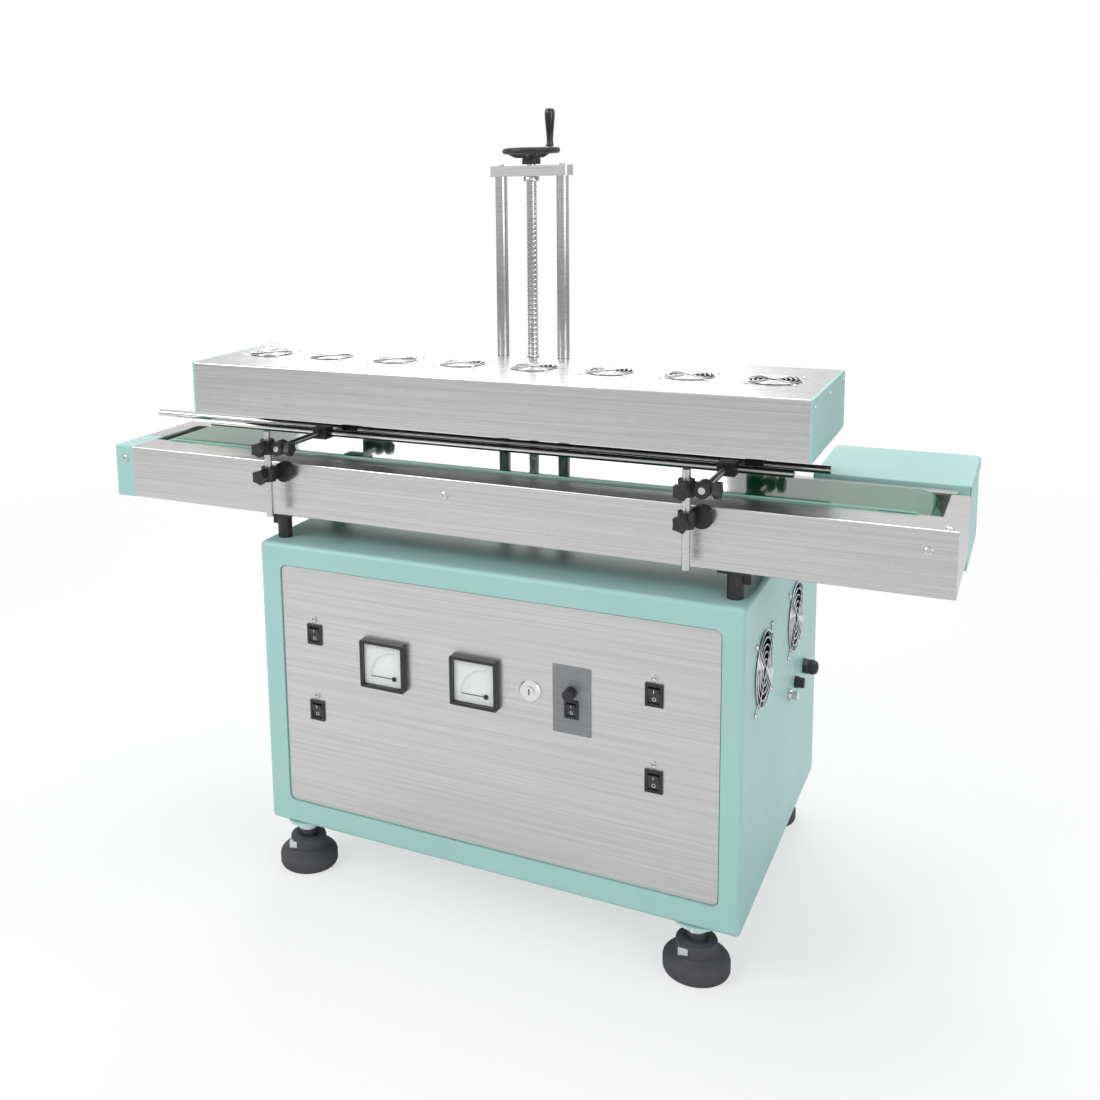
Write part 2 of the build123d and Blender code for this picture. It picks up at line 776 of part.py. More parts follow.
def lift_parts():
    """Guide columns, their top plate, the lead screw, the handwheel and its revolving grip."""
    shoulder = top_plate_bottom
    spigot = shoulder + top_plate_thickness * 0.7
    columns = []
    for x in column_places():
        columns.append(revolved([
            (0, cabinet_top), (column_base_radius, cabinet_top),
            (column_base_radius, cabinet_top + column_base_height),
            (column_radius, cabinet_top + column_base_height),
            (column_radius, shoulder), (column_spigot_radius, shoulder),
            (column_spigot_radius, spigot), (0, spigot),
        ], x, column_y))
    seat = cabinet_top + column_base_height * 1.5
    foot = rod_z(column_x, column_y, cabinet_top, seat, column_base_radius - 3)
    foot -= rod_z(column_x, column_y, cabinet_top + 4, seat + 1, screw_journal_radius + running)
    columns.append(foot)
    plate = box(
        column_x - top_plate_length / 2, column_x + top_plate_length / 2,
        column_y - top_plate_depth / 2, column_y + top_plate_depth / 2,
        shoulder, shoulder + top_plate_thickness,
    )
    plate = chamfer(plate.edges().filter_by(Axis.Z), 2)
    for x in column_places():
        plate -= rod_z(x, column_y, shoulder - 1, spigot, column_spigot_radius + running)
    plate -= rod_z(
        column_x, column_y, shoulder - 1, shoulder + top_plate_thickness + 1,
        screw_journal_radius + running,
    )
    plate_top = shoulder + top_plate_thickness
    hub_bottom = plate_top + 2.0
    hub_top = hub_bottom + wheel_hub_height
    j = screw_journal_radius
    collar_top = shoulder - moving
    collar_bottom = collar_top - screw_collar_height
    screw = revolved([
        (0, cabinet_top + 4 + moving), (j, cabinet_top + 4 + moving), (j, seat + 2),
        (screw_radius, seat + 4), (screw_radius, collar_bottom),
        (screw_collar_radius, collar_bottom), (screw_collar_radius, collar_top),
        (j, collar_top), (j, hub_top), (0, hub_top),
    ], column_x, column_y)
    rim_z = plate_top + wheel_lift
    ring = prism(24, wheel_radius, 2 * wheel_rim) - prism(24, wheel_radius - 2 * wheel_rim, 3 * wheel_rim)
    ring = chamfer(ring.edges().group_by(Axis.Z)[0] + ring.edges().group_by(Axis.Z)[-1], wheel_rim * 0.6)
    ring = Pos(0, 0, rim_z) * ring
    hub = Pos(0, 0, (hub_bottom + hub_top) / 2) * prism(16, wheel_hub_radius, wheel_hub_height)
    hub += Pos(0, 0, hub_top + 2) * prism(16, wheel_hub_radius * 0.7, 4)
    wheel = ring + hub
    reach = wheel_radius - wheel_rim
    for i in range(wheel_spokes):
        spoke = box(wheel_hub_radius * 0.6, reach, -5, 5, hub_top - 7, hub_top - 1)
        tie = box(reach - 3, reach + 3, -5, 5, hub_top - 7, rim_z)
        wheel += Rot(0, 0, grip_angle + i * 360 / wheel_spokes) * (spoke + tie)
    angle = radians(grip_angle)
    pad_x = reach * cos(angle)
    pad_y = reach * sin(angle)
    pad_top = rim_z + wheel_rim + 1
    pin_top = pad_top + 0.8 * grip_height
    wheel += rod_z(pad_x, pad_y, rim_z, pad_top, 6)
    wheel += rod_z(pad_x, pad_y, rim_z, pin_top, grip_pin_radius)
    wheel -= rod_z(0, 0, hub_bottom - 1, hub_top, j + running)
    wheel = Pos(column_x, column_y, 0) * wheel
    low = pad_top + moving
    high = low + grip_height
    g = grip_radius
    belly = low + grip_height * 0.75
    sections = [(low, g * 0.65), (belly, g), (high, g * 0.75)]
    outlines = [Pos(0, 0, z) * RegularPolygon(r, 16) for z, r in sections]
    grip = loft([outlines[0], outlines[1]]) + loft([outlines[1], outlines[2]])
    grip = Pos(column_x + pad_x, column_y + pad_y, 0) * grip
    grip -= rod_z(
        column_x + pad_x, column_y + pad_y, low - 1, pin_top + moving, grip_pin_radius + running
    )
    return {
        "lift_columns": group(columns), "top_plate": one(plate), "lead_screw": one(screw),
        "handwheel": one(wheel), "handwheel_grip": one(grip),
    }


def star_knob(neck, height):
    """A lobed clamping knob standing on the origin along +Z, with its neck."""
    points = []
    for i in range(3 * knob_lobes):
        angle = 2 * pi * i / (3 * knob_lobes)
        reach = knob_radius * (0.86 + 0.14 * cos(knob_lobes * angle))
        points.append((reach * cos(angle), reach * sin(angle)))
    knob = extrude(make_face(Polyline(*points, close=True)), height)
    return Pos(0, 0, neck) * knob + Pos(0, 0, neck / 2) * prism(8, knob_radius * 0.45, neck)


def guide_side(front):
    """Posts, clamps, arms and rail of one guide, in front of the belt or behind it."""
    way = -1 if front else 1
    face = conveyor_front if front else conveyor_back
    post_y = face + way * post_standoff
    rail_y = belt_y + way * guide_gap / 2
    turn = 90 if front else -90
    knob = Rot(turn, 0, 0) * star_knob(knob_neck, knob_height)
    side_knob = Rot(0, 90, 0) * star_knob(side_knob_neck, side_knob_height)
    base_z = rail_bottom + post_clamp_height
    post_bottom = rail_bottom + post_foot
    post_top = post_bottom + post_length
    arm_z = guide_z + arm_rise
    posts, bases, crosses, arms, clamps = [], [], [], [], []
    shift = 0.0 if front else rear_post_shift
    for x in (conveyor_x - post_left + shift, conveyor_x + post_right + shift):
        posts.append(rod_z(x, post_y, post_bottom, post_top, post_radius))
        base_x = x + post_base_offset
        disc_y = face + way * post_base_thickness
        disc = Rot(90, 0, 0) * prism(16, post_base_radius, post_base_thickness)
        disc = Pos(base_x, (face + disc_y) / 2, base_z) * disc
        barrel = Pos(x, post_y, base_z) * prism(12, clamp_radius, clamp_height)
        link_y = sorted((post_y, disc_y - way * 2))
        link = box(x, base_x - 4, link_y[0], link_y[1], base_z - 9, base_z + 9)
        base = disc + barrel + link
        base -= rod_z(x, post_y, base_z - clamp_height, base_z + clamp_height, post_radius + running)
        base += Pos(x, post_y + way * (clamp_radius - knob_bite), base_z) * knob
        bases.append(base)
        arm_x = x + arm_offset
        cross = Pos(x, post_y, arm_z) * prism(12, clamp_radius, clamp_height)
        cross += Pos(arm_x, post_y, arm_z) * Rot(90, 0, 0) * prism(12, clamp_radius, clamp_height)
        cross += box(x, arm_x, post_y - 8, post_y + 8, arm_z - 8, arm_z + 8)
        cross -= rod_z(x, post_y, arm_z - 30, arm_z + 30, post_radius + running)
        cross -= rod_y(arm_x, post_y - 30, post_y + 30, arm_z, arm_radius + running)
        cross += Pos(x, post_y + way * (clamp_radius - knob_bite), arm_z) * knob
        cross += Pos(arm_x + (clamp_radius - knob_bite), post_y, arm_z) * side_knob
        crosses.append(cross)
        outer = rail_y + way * rail_clamp_reach
        arm_end = rail_y + way * (guide_radius + rail_clamp_wall)
        ends = sorted((post_y + way * clamp_height / 2, arm_end))
        arms.append(rod_y(arm_x, ends[0], ends[1], arm_z, arm_radius))
        half = guide_radius + rail_clamp_wall
        sides = sorted((outer, rail_y - way * half))
        clamp = box(
            arm_x - rail_clamp_length / 2, arm_x + rail_clamp_length / 2, sides[0], sides[1],
            guide_z - half, guide_z + half + arm_rise,
        )
        clamp -= rod_y(arm_x, ends[0], ends[1], arm_z, arm_radius + running)
        clamp -= rod_x(arm_x - 30, arm_x + 30, rail_y, guide_z, guide_radius + running)
        clamps.append(clamp)
    start = front_guide_start if front else conveyor_length / 2 + guide_overhang
    end = front_guide_end if front else rear_guide_end
    rail = rod_x(conveyor_x - start, conveyor_x + end, rail_y, guide_z, guide_radius)
    prefix = "front" if front else "rear"
    return posts, bases, {
        f"{prefix}_cross_clamps": group(crosses),
        f"{prefix}_guide_rail": group([rail] + arms),
        f"{prefix}_rail_clamps": group(clamps),
    }


def guides():
    """Both guides, with their posts and post clamps gathered by kind."""
    front_posts, front_bases, front_nodes = guide_side(True)
    rear_posts, rear_bases, rear_nodes = guide_side(False)
    return {
        "guide_posts": group(front_posts + rear_posts),
        "post_clamps": group(front_bases + rear_bases),
        **front_nodes, **rear_nodes,
    }


def switch_places():
    """Centres of the four rocker switches on the front panel."""
    return [
        (cabinet_left + switch_inset_left, floor_gap + switch_high),
        (cabinet_left + switch_inset_left, floor_gap + switch_low),
        (cabinet_right - switch_inset_right, floor_gap + switch_high),
        (cabinet_right - switch_inset_right, floor_gap + switch_low),
    ]


def rocker_places():
    """Pivot of every rocker: the four switches and the small one on the speed controller."""
    depth = panel_y + rocker_pivot_depth
    places = [Vector(x, depth, z) for x, z in switch_places()]
    z = floor_gap + controller_level - controller_rocker_drop
    small_depth = panel_y - controller_sheet + rocker_pivot_depth * small_switch
    places.append(Vector(cabinet_x + controller_offset, small_depth, z))
    return places


def rocker_body(width, height):
    """A rocker at rest, its lower end pressed in, with its pivot pin along X at the origin."""
    half = height / 2
    front = radians(rocker_face_angle)
    back = radians(rocker_back_angle)
    profile = make_face(Polyline(
        (-half * sin(front), half * cos(front)), (-half * 0.34, 0),
        (-half * sin(front), -half * cos(front)), (-half * sin(back), -half * cos(back)),
        (half * 0.56, 0), (-half * sin(back), half * cos(back)), close=True,
    ))
    body = Rot(rocker_swing, 0, 0) * extrude(Plane.YZ * profile, width / 2, both=True)
    pin = Rot(0, 90, 0) * prism(12, rocker_pin_radius, width + 2 * rocker_pin_length)
    return body + pin


def controls():
    """Switches, meters, key switch and speed controller on the front panel."""
    nodes = {}
    bezels = []
    for i, p in enumerate(rocker_places()):
        small = i == 4
        ratio = small_switch if small else 1.0
        width = rocker_width * ratio
        height = rocker_height * ratio
        half_w = switch_width * ratio / 2
        half_h = switch_height * ratio / 2
        face = panel_y - (controller_sheet if small else 0)
        lip = switch_bezel * ratio
        bezel = box(p.X - half_w, p.X + half_w, face - lip, face, p.Z - half_h, p.Z + half_h)
        bezel += box(
            p.X - half_w + switch_bezel + running, p.X + half_w - switch_bezel - running,
            face, face + switch_depth * ratio,
            p.Z - half_h + switch_bezel + running, p.Z + half_h - switch_bezel - running,
        )
        bezel -= box(
            p.X - width / 2 - moving, p.X + width / 2 + moving, face - lip - 1, face + rocker_pocket,
            p.Z - height / 2 - moving, p.Z + height / 2 + moving,
        )
        reach = width / 2 + rocker_pin_length + moving
        bore = (rocker_pin_radius + running) / cos(pi / 12)
        bezel -= Pos(*p) * Rot(0, 90, 0) * prism(12, bore, 2 * reach)
        bezels.append(bezel)
        name = "controller_rocker" if small else f"switch_rocker_{i + 1}"
        nodes[name] = one(Pos(*p) * rocker_body(width, height))
    nodes["switch_bezels"] = group(bezels)

    housings = []
    for i, x in enumerate((cabinet_x - meter_left, cabinet_x - meter_right)):
        z = floor_gap + meter_height
        half = meter_size / 2
        front = panel_y - meter_proud
        housing = box(x - half, x + half, front, panel_y, z - half, z + half)
        housing = chamfer(housing.edges().filter_by(Axis.Y), 2)
        pane = half - meter_frame
        housing -= box(x - pane, x + pane, front - 1, front + meter_window_depth, z - pane, z + pane)
        housing += rod_y(x, panel_y, panel_y + meter_body_depth, z, meter_dial / 2 - moving)
        pivot_z = z - half + needle_inset
        pivot_x = x + half - needle_inset
        middle = front + meter_window_depth / 2 + needle_thickness
        housing += rod_y(
            pivot_x, middle - needle_thickness, front + meter_window_depth + 1, pivot_z,
            needle_pin_radius,
        )
        housings.append(housing)
        needle = Pos(pivot_x, middle, pivot_z) * Rot(90, 0, 0) * prism(
            12, needle_hub_radius, needle_thickness)
        needle += Pos(pivot_x - needle_length / 2, middle, pivot_z) * Box(
            needle_length, needle_thickness / 2, needle_thickness / 2)
        needle -= rod_y(
            pivot_x, front, front + meter_window_depth + 2, pivot_z, needle_pin_radius + running
        )
        nodes[f"meter_needle_{i + 1}"] = one(needle)
    nodes["meter_housings"] = group(housings)

    key_x = cabinet_x + key_offset
    key_z = floor_gap + key_height
    core = key_core_radius
    flange = Rot(90, 0, 0) * prism(24, key_radius, key_proud)
    lock = Pos(key_x, panel_y - key_proud / 2, key_z) * flange
    lock = chamfer(lock.edges().group_by(Axis.Y)[0], key_proud * 0.4)
    barrel = Rot(90, 0, 0) * prism(16, 1.45 * core, key_body_depth)
    lock += Pos(key_x, panel_y + key_body_depth / 2, key_z) * barrel
    lock -= rod_y(key_x, panel_y - 2 * key_proud, panel_y + key_body_depth - 6, key_z, core + running)
    nodes["key_lock_body"] = one(lock)
    plug = rod_y(key_x, panel_y - key_proud - 2, panel_y + key_body_depth - 7, key_z, core)
    slot = key_slot_width / 2
    plug -= box(key_x - slot, key_x + slot, panel_y - 2 * key_proud, panel_y + key_proud,
                key_z - 2 * key_slot_width, key_z + 2 * key_slot_width)
    nodes["key_cylinder"] = one(plug)

    x = cabinet_x + controller_offset
    z = floor_gap + controller_level
    front = panel_y - controller_sheet
    plate = box(
        x - controller_width / 2, x + controller_width / 2, front, panel_y,
        z - controller_height / 2, z + controller_height / 2,
    )
    knob_z = z + speed_knob_rise
    rocker_z = rocker_places()[4].Z
    cut_w = switch_width * small_switch / 2 - switch_bezel
    cut_h = switch_height * small_switch / 2 - switch_bezel
    plate -= box(x - cut_w, x + cut_w, front - 1, panel_y + 1, rocker_z - cut_h, rocker_z + cut_h)
    plate += rod_y(x, front - speed_knob_height + 3, front, knob_z, speed_pin_radius)
    nodes["controller_plate"] = one(plate)
    knob_front = front - 1 - speed_knob_height
    knob = Pos(x, front - 1 - speed_knob_height / 2, knob_z) * Rot(90, 0, 0) * prism(
        18, speed_knob_radius, speed_knob_height)
    knob += box(x - 0.8, x + 0.8, knob_front, front - 1, knob_z + speed_knob_radius - 2,
                knob_z + speed_knob_radius + 0.6)
    knob -= rod_y(x, front - speed_knob_height + 3 - moving, front, knob_z,
                  speed_pin_radius + running)
    nodes["speed_knob"] = one(knob)
    return nodes


def fitting_places():
    """Distance behind the cabinet's front, and radius, of each fitting on the right wall."""
    return [(back, small_fitting_radius) for back in small_fitting_backs] + [(gland_back, gland_radius)]


def side_fittings():
    """The cable gland and two small round fittings on the cabinet's right wall."""
    pieces = []
    z = floor_gap + fitting_level
    for back, radius in fitting_places():
        y = cabinet_front + back
        reach = 24.0 if radius == gland_radius else 16.0
        collar = Pos(cabinet_right + reach * 0.2, y, z) * Rot(0, 90, 0) * prism(
            6 if radius == gland_radius else 16, radius, reach * 0.4)
        body = Pos(cabinet_right + reach / 2, y, z) * Rot(0, 90, 0) * prism(16, radius * 0.82, reach)
        stem = Pos(cabinet_right - 7, y, z) * Rot(0, 90, 0) * prism(16, radius * 0.68, 14)
        piece = collar + body + stem
        if radius == gland_radius:
            piece -= rod_x(cabinet_right - 15, cabinet_right + reach + 1, y, z, gland_bore)
        pieces.append(piece)
    return {"side_fittings": group(pieces)}


def build():
    """Every node of the machine by name."""
    nodes = {}
    for make in (
        cabinet_parts, levelling_feet, conveyor_frame, conveyor_end_cap, conveyor_parts,
        conveyor_mounts, motor_box_parts, fans, head_parts, lift_parts, guides, controls,
        side_fittings,
    ):
        nodes.update(make())
    return nodes


os.makedirs("parts", exist_ok=True)
for node, shape in build().items():
    export_step(shape, f"parts/{node}.step")
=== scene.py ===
"""Dressing of a continuous induction sealing machine.

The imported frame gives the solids.  Each class below dresses one sub-assembly: it
gives the frame's nodes their finish and adds the wires, screws, dials and marks
that the solids leave out.  Lengths are in metres, in the frame of the solids.
"""

from __future__ import annotations

import json
import logging
import math
from dataclasses import dataclass, field
from enum import Enum

import bmesh
import bpy
from mathutils import Matrix, Vector
from mathutils.bvhtree import BVHTree

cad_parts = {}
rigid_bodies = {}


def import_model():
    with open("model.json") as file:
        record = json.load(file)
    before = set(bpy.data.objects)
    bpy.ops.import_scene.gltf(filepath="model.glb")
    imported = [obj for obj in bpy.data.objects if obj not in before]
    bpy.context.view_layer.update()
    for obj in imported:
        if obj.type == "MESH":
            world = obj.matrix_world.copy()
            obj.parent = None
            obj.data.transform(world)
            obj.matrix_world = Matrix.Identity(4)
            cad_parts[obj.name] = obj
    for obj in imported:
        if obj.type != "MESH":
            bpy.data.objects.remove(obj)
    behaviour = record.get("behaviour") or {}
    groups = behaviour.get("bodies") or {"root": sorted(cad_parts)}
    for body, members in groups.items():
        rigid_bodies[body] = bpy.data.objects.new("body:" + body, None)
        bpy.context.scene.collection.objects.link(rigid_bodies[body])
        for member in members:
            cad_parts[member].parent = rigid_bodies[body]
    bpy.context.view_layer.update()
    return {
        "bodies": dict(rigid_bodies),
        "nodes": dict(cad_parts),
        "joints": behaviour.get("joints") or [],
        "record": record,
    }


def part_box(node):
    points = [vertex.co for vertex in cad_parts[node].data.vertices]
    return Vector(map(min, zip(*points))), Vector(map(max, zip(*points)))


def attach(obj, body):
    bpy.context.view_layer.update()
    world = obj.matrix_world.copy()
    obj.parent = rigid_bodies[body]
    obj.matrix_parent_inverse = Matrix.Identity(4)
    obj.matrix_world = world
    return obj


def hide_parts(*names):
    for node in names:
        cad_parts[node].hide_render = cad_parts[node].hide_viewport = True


log = logging.getLogger("sealer")

Point = tuple[float, float, float]
Profile = list[tuple[float, float]]


class Grain(Enum):
    """How a finish breaks up its surface."""

    COAT = "coat"
    BRUSHED = "brushed"
    TURNED = "turned"
    MOULDED = "moulded"
    SMOOTH = "smooth"
    BELT = "belt"


class Way(Enum):
    """Turns that stand a piece built along +Z onto another axis."""

    UP = Matrix.Identity(3)
    DOWN = Matrix.Rotation(math.pi, 3, "X")
    FRONT = Matrix.Rotation(math.pi / 2, 3, "X")
    BACK = Matrix.Rotation(-math.pi / 2, 3, "X")
    RIGHT = Matrix.Rotation(math.pi / 2, 3, "Y")
    LEFT = Matrix.Rotation(-math.pi / 2, 3, "Y")


class Graph:
    """A short hand for building one material's nodes."""

    def __init__(self, material: bpy.types.Material) -> None:
        """Clears the material's nodes and keeps its tree.

        Args:
            material: The material whose tree is built.
        """
        material.use_nodes = True
        self.tree = material.node_tree
        self.tree.nodes.clear()

    def node(self, kind: str, **sockets: object) -> bpy.types.Node:
        """Adds a node and fills its inputs.

        Args:
            kind: The node's type name without its ShaderNode prefix.
            sockets: Values or output sockets by input name, spaces as underscores.

        Returns:
            The new node.
        """
        made = self.tree.nodes.new("ShaderNode" + kind)
        for name, value in sockets.items():
            self.put(made, name.replace("_", " "), value)
        return made

    def put(self, node: bpy.types.Node, name: str | int, value: object) -> None:
        """Sets an input to a value, or links an output socket to it.

        Args:
            node: The node that is fed.
            name: The input's name or index.
            value: A plain value or an output socket.
        """
        if isinstance(value, bpy.types.NodeSocket):
            self.tree.links.new(value, node.inputs[name])
        else:
            node.inputs[name].default_value = value

    def ramp(self, factor: bpy.types.NodeSocket, stops: list[tuple[float, tuple]]) -> bpy.types.NodeSocket:
        """Maps a factor through a colour ramp.

        Args:
            factor: The socket that drives the ramp.
            stops: Position and RGB of each stop.

        Returns:
            The ramp's colour socket.
        """
        made = self.tree.nodes.new("ShaderNodeValToRGB")
        elements = made.color_ramp.elements
        while len(elements) < len(stops):
            elements.new(0.5)
        for element, (place, colour) in zip(elements, stops):
            element.position = place
            element.color = (*colour, 1.0)
        self.tree.links.new(factor, made.inputs[0])
        return made.outputs[0]

    def noise(self, scale: Point, detail: float = 2.0) -> bpy.types.NodeSocket:
        """Noise over the object's own coordinates, stretched by a scale on each axis.

        Args:
            scale: Cells for each metre along X, Y and Z.
            detail: Octaves of the noise.

        Returns:
            The noise's factor socket.
        """
        place = self.node("TexCoord")
        mapping = self.node("Mapping", Vector=place.outputs["Object"], Scale=scale)
        made = self.node("TexNoise", Vector=mapping.outputs[0], Scale=1.0, Detail=detail)
        return made.outputs[0]


@dataclass(frozen=True)
class Finish:
    """One surface finish, with the values that a maker would name, and a painted highlight colour for
    faces that look front or back.
    """

    name: str
    colour: tuple[float, float, float]
    roughness: float
    metallic: float = 0.0
    grain: Grain = Grain.SMOOTH
    coat: float = 0.0
    painted_edge_highlight: tuple[float, float, float] | None = None
    grain_axis: str = "X"

    def material(self) -> bpy.types.Material:
        """The Blender material of this finish, made once.

        Returns:
            The material, shared by every piece with this finish.
        """
        ready = bpy.data.materials.get(self.name)
        if ready:
            return ready
        made = bpy.data.materials.new(self.name)
        graph = Graph(made)
        shader = graph.node("BsdfPrincipled")
        shader.inputs["Metallic"].default_value = self.metallic
        shader.inputs["Coat Weight"].default_value = self.coat
        shader.inputs["Coat Roughness"].default_value = 0.06
        out = graph.node("OutputMaterial", Surface=shader.outputs[0])
        out.location = (400, 0)
        self._colour(graph, shader)
        self._surface(graph, shader)
        return made

    def _tone(self, gain: float) -> tuple[float, float, float]:
        """The finish's colour, lightened or darkened by a gain."""
        return tuple(min(1.0, c * gain) for c in self.colour)

    def _colour(self, graph: Graph, shader: bpy.types.Node) -> None:
        """Feeds the base colour with the variation the real finish shows, and paints a lighter highlight
        colour on faces that look front or back.

        Args:
            graph: The material's graph.
            shader: Its principled shader.
        """
        spread = {
            Grain.COAT: ((5.0, 5.0, 5.0), 0.035),
            Grain.BRUSHED: (self._streaks(3.0, 420.0), 0.10),
            Grain.TURNED: ((30.0, 30.0, 700.0), 0.10),
            Grain.MOULDED: ((90.0, 90.0, 90.0), 0.25),
            Grain.SMOOTH: ((12.0, 12.0, 12.0), 0.05),
            Grain.BELT: ((3.0, 40.0, 40.0), 0.12),
        }
        scale, depth = spread[self.grain]
        factor = graph.noise(scale, 3.0)
        colour = graph.ramp(factor, [(0.3, self._tone(1 - depth)), (0.7, self._tone(1 + depth))])
        # Painted highlight: faces that look along Y take the lighter colour, standing in for light on the
        # belt's front and back edges.
        if self.painted_edge_highlight:
            where = graph.node("NewGeometry")
            split = graph.node("SeparateXYZ", Vector=where.outputs["Normal"])
            side = graph.node("Math")
            side.operation = "ABSOLUTE"
            graph.put(side, 0, split.outputs["Y"])
            mix = graph.node("Mix")
            mix.data_type = "RGBA"
            graph.put(mix, 0, side.outputs[0])
            graph.put(mix, 6, colour)
            graph.put(mix, 7, (*self.painted_edge_highlight, 1.0))
            colour = mix.outputs[2]
        graph.put(shader, "Base Color", colour)

    def _streaks(self, along: float, across: float) -> Point:
        """Noise scale of a brushed grain that runs along the finish's axis."""
        return tuple(along if axis == self.grain_axis else across for axis in "XYZ")

    def _surface(self, graph: Graph, shader: bpy.types.Node) -> None:
        """Feeds roughness and bump with the finish's grain.

        Args:
            graph: The material's graph.
            shader: Its principled shader.
        """
        fine = {
            Grain.COAT: ((1100.0, 1100.0, 1100.0), 0.06, 0.000015),
            Grain.BRUSHED: (self._streaks(9.0, 2600.0), 0.22, 0.000012),
            Grain.TURNED: ((120.0, 120.0, 2600.0), 0.14, 0.000010),
            Grain.MOULDED: ((1700.0, 1700.0, 1700.0), 0.10, 0.00003),
            Grain.SMOOTH: ((60.0, 60.0, 60.0), 0.05, 0.000002),
            Grain.BELT: ((200.0, 900.0, 900.0), 0.05, 0.000010),
        }
        scale, spread, height = fine[self.grain]
        factor = graph.noise(scale, 2.0)
        span = graph.node("MapRange")
        graph.put(span, 0, factor)
        graph.put(span, "From Min", 0.25)
        graph.put(span, "From Max", 0.75)
        graph.put(span, "To Min", max(0.02, self.roughness - spread / 2))
        graph.put(span, "To Max", self.roughness + spread / 2)
        graph.put(shader, "Roughness", span.outputs[0])
        bump = graph.node("Bump", Strength=0.6, Distance=height)
        graph.put(bump, "Height", factor)
        graph.put(shader, "Normal", bump.outputs[0])


MINT = Finish("mint_powder_coat", (0.36, 0.60, 0.56), 0.38, grain=Grain.COAT)
MINT_PALE = Finish("pale_mint_coat", (0.50, 0.68, 0.65), 0.36, grain=Grain.COAT)
PANEL_STEEL = Finish("brushed_panel_steel", (0.60, 0.59, 0.585), 0.34, 1.0, Grain.BRUSHED)
RAIL_STEEL = Finish("brushed_rail_steel", (0.60, 0.59, 0.58), 0.30, 1.0, Grain.BRUSHED)
HEAD_STEEL = Finish("brushed_head_steel", (0.62, 0.615, 0.61), 0.27, 1.0, Grain.BRUSHED)
PLATE_STEEL = Finish("brushed_plate_steel", (0.62, 0.61, 0.60), 0.30, 1.0, Grain.BRUSHED)
ROD_STEEL = Finish("bright_rod_steel", (0.58, 0.57, 0.565), 0.14, 1.0, Grain.TURNED)
GUIDE_STEEL = Finish("ground_guide_steel", (0.60, 0.59, 0.58), 0.20, 1.0, Grain.BRUSHED)
CHROME = Finish("polished_chrome", (0.72, 0.72, 0.73), 0.08, 1.0, Grain.SMOOTH)
ZINC = Finish("zinc_screws", (0.62, 0.62, 0.62), 0.26, 1.0, Grain.TURNED)
BED_STEEL = Finish("milled_bed_steel", (0.42, 0.42, 0.42), 0.42, 1.0, Grain.BRUSHED)
CAST_METAL = Finish("cast_motor_grey", (0.30, 0.31, 0.32), 0.5, 0.6, Grain.COAT)
COPPER = Finish("copper_coil", (0.72, 0.36, 0.20), 0.25, 1.0, Grain.TURNED)
BLACK_PLASTIC = Finish("moulded_black", (0.016, 0.016, 0.018), 0.42, grain=Grain.MOULDED)
BLACK_GLOSS = Finish("gloss_black", (0.012, 0.012, 0.013), 0.16, grain=Grain.SMOOTH, coat=0.3)
FOOT_BLACK = Finish("foot_black", (0.035, 0.036, 0.040), 0.33, grain=Grain.MOULDED)
RUBBER = Finish("buffer_rubber", (0.020, 0.020, 0.021), 0.6, grain=Grain.MOULDED)
FAN_BLACK = Finish("fan_black", (0.012, 0.012, 0.013), 0.38, grain=Grain.MOULDED)
# The pale green second colour is a painted highlight on the belt's front and back edges.
BELT_GREEN = Finish(
    "green_belt_cover", (0.004, 0.135, 0.055), 0.10, grain=Grain.BELT, coat=0.35,
    painted_edge_highlight=(0.30, 0.62, 0.50),
)
DIAL_WHITE = Finish("dial_card", (0.80, 0.81, 0.81), 0.55, grain=Grain.SMOOTH)
PRINT_BLACK = Finish("printed_black", (0.02, 0.02, 0.022), 0.5, grain=Grain.SMOOTH)
PRINT_WHITE = Finish("printed_white", (0.82, 0.82, 0.82), 0.5, grain=Grain.SMOOTH)
NEEDLE_RED = Finish("needle_lacquer", (0.03, 0.03, 0.03), 0.4, grain=Grain.SMOOTH)
CONTROL_GREY = Finish("control_plate_grey", (0.24, 0.25, 0.26), 0.40, 0.4, Grain.BRUSHED)
DARK_RECESS = Finish("recess_dark", (0.035, 0.037, 0.042), 0.5, grain=Grain.MOULDED)


@dataclass(frozen=True)
class Glass:
    """Clear cover glass of a panel meter."""

    name: str = "meter_glass"
    tint: tuple[float, float, float] = (0.97, 0.98, 0.98)

    def material(self) -> bpy.types.Material:
        """The glass material, made once.

        Returns:
            A thin clear glass that lets the dial show.
        """
        ready = bpy.data.materials.get(self.name)
        if ready:
            return ready
        made = bpy.data.materials.new(self.name)
        graph = Graph(made)
        shader = graph.node("BsdfPrincipled")
        shader.inputs["Base Color"].default_value = (*self.tint, 1.0)
        shader.inputs["Roughness"].default_value = 0.03
        shader.inputs["Transmission Weight"].default_value = 1.0
        shader.inputs["IOR"].default_value = 1.12
        smudge = graph.noise((40.0, 40.0, 40.0), 3.0)
        graph.put(shader, "Roughness", graph.ramp(smudge, [(0.4, (0.02,) * 3), (0.8, (0.06,) * 3)]))
        graph.node("OutputMaterial", Surface=shader.outputs[0])
        return made


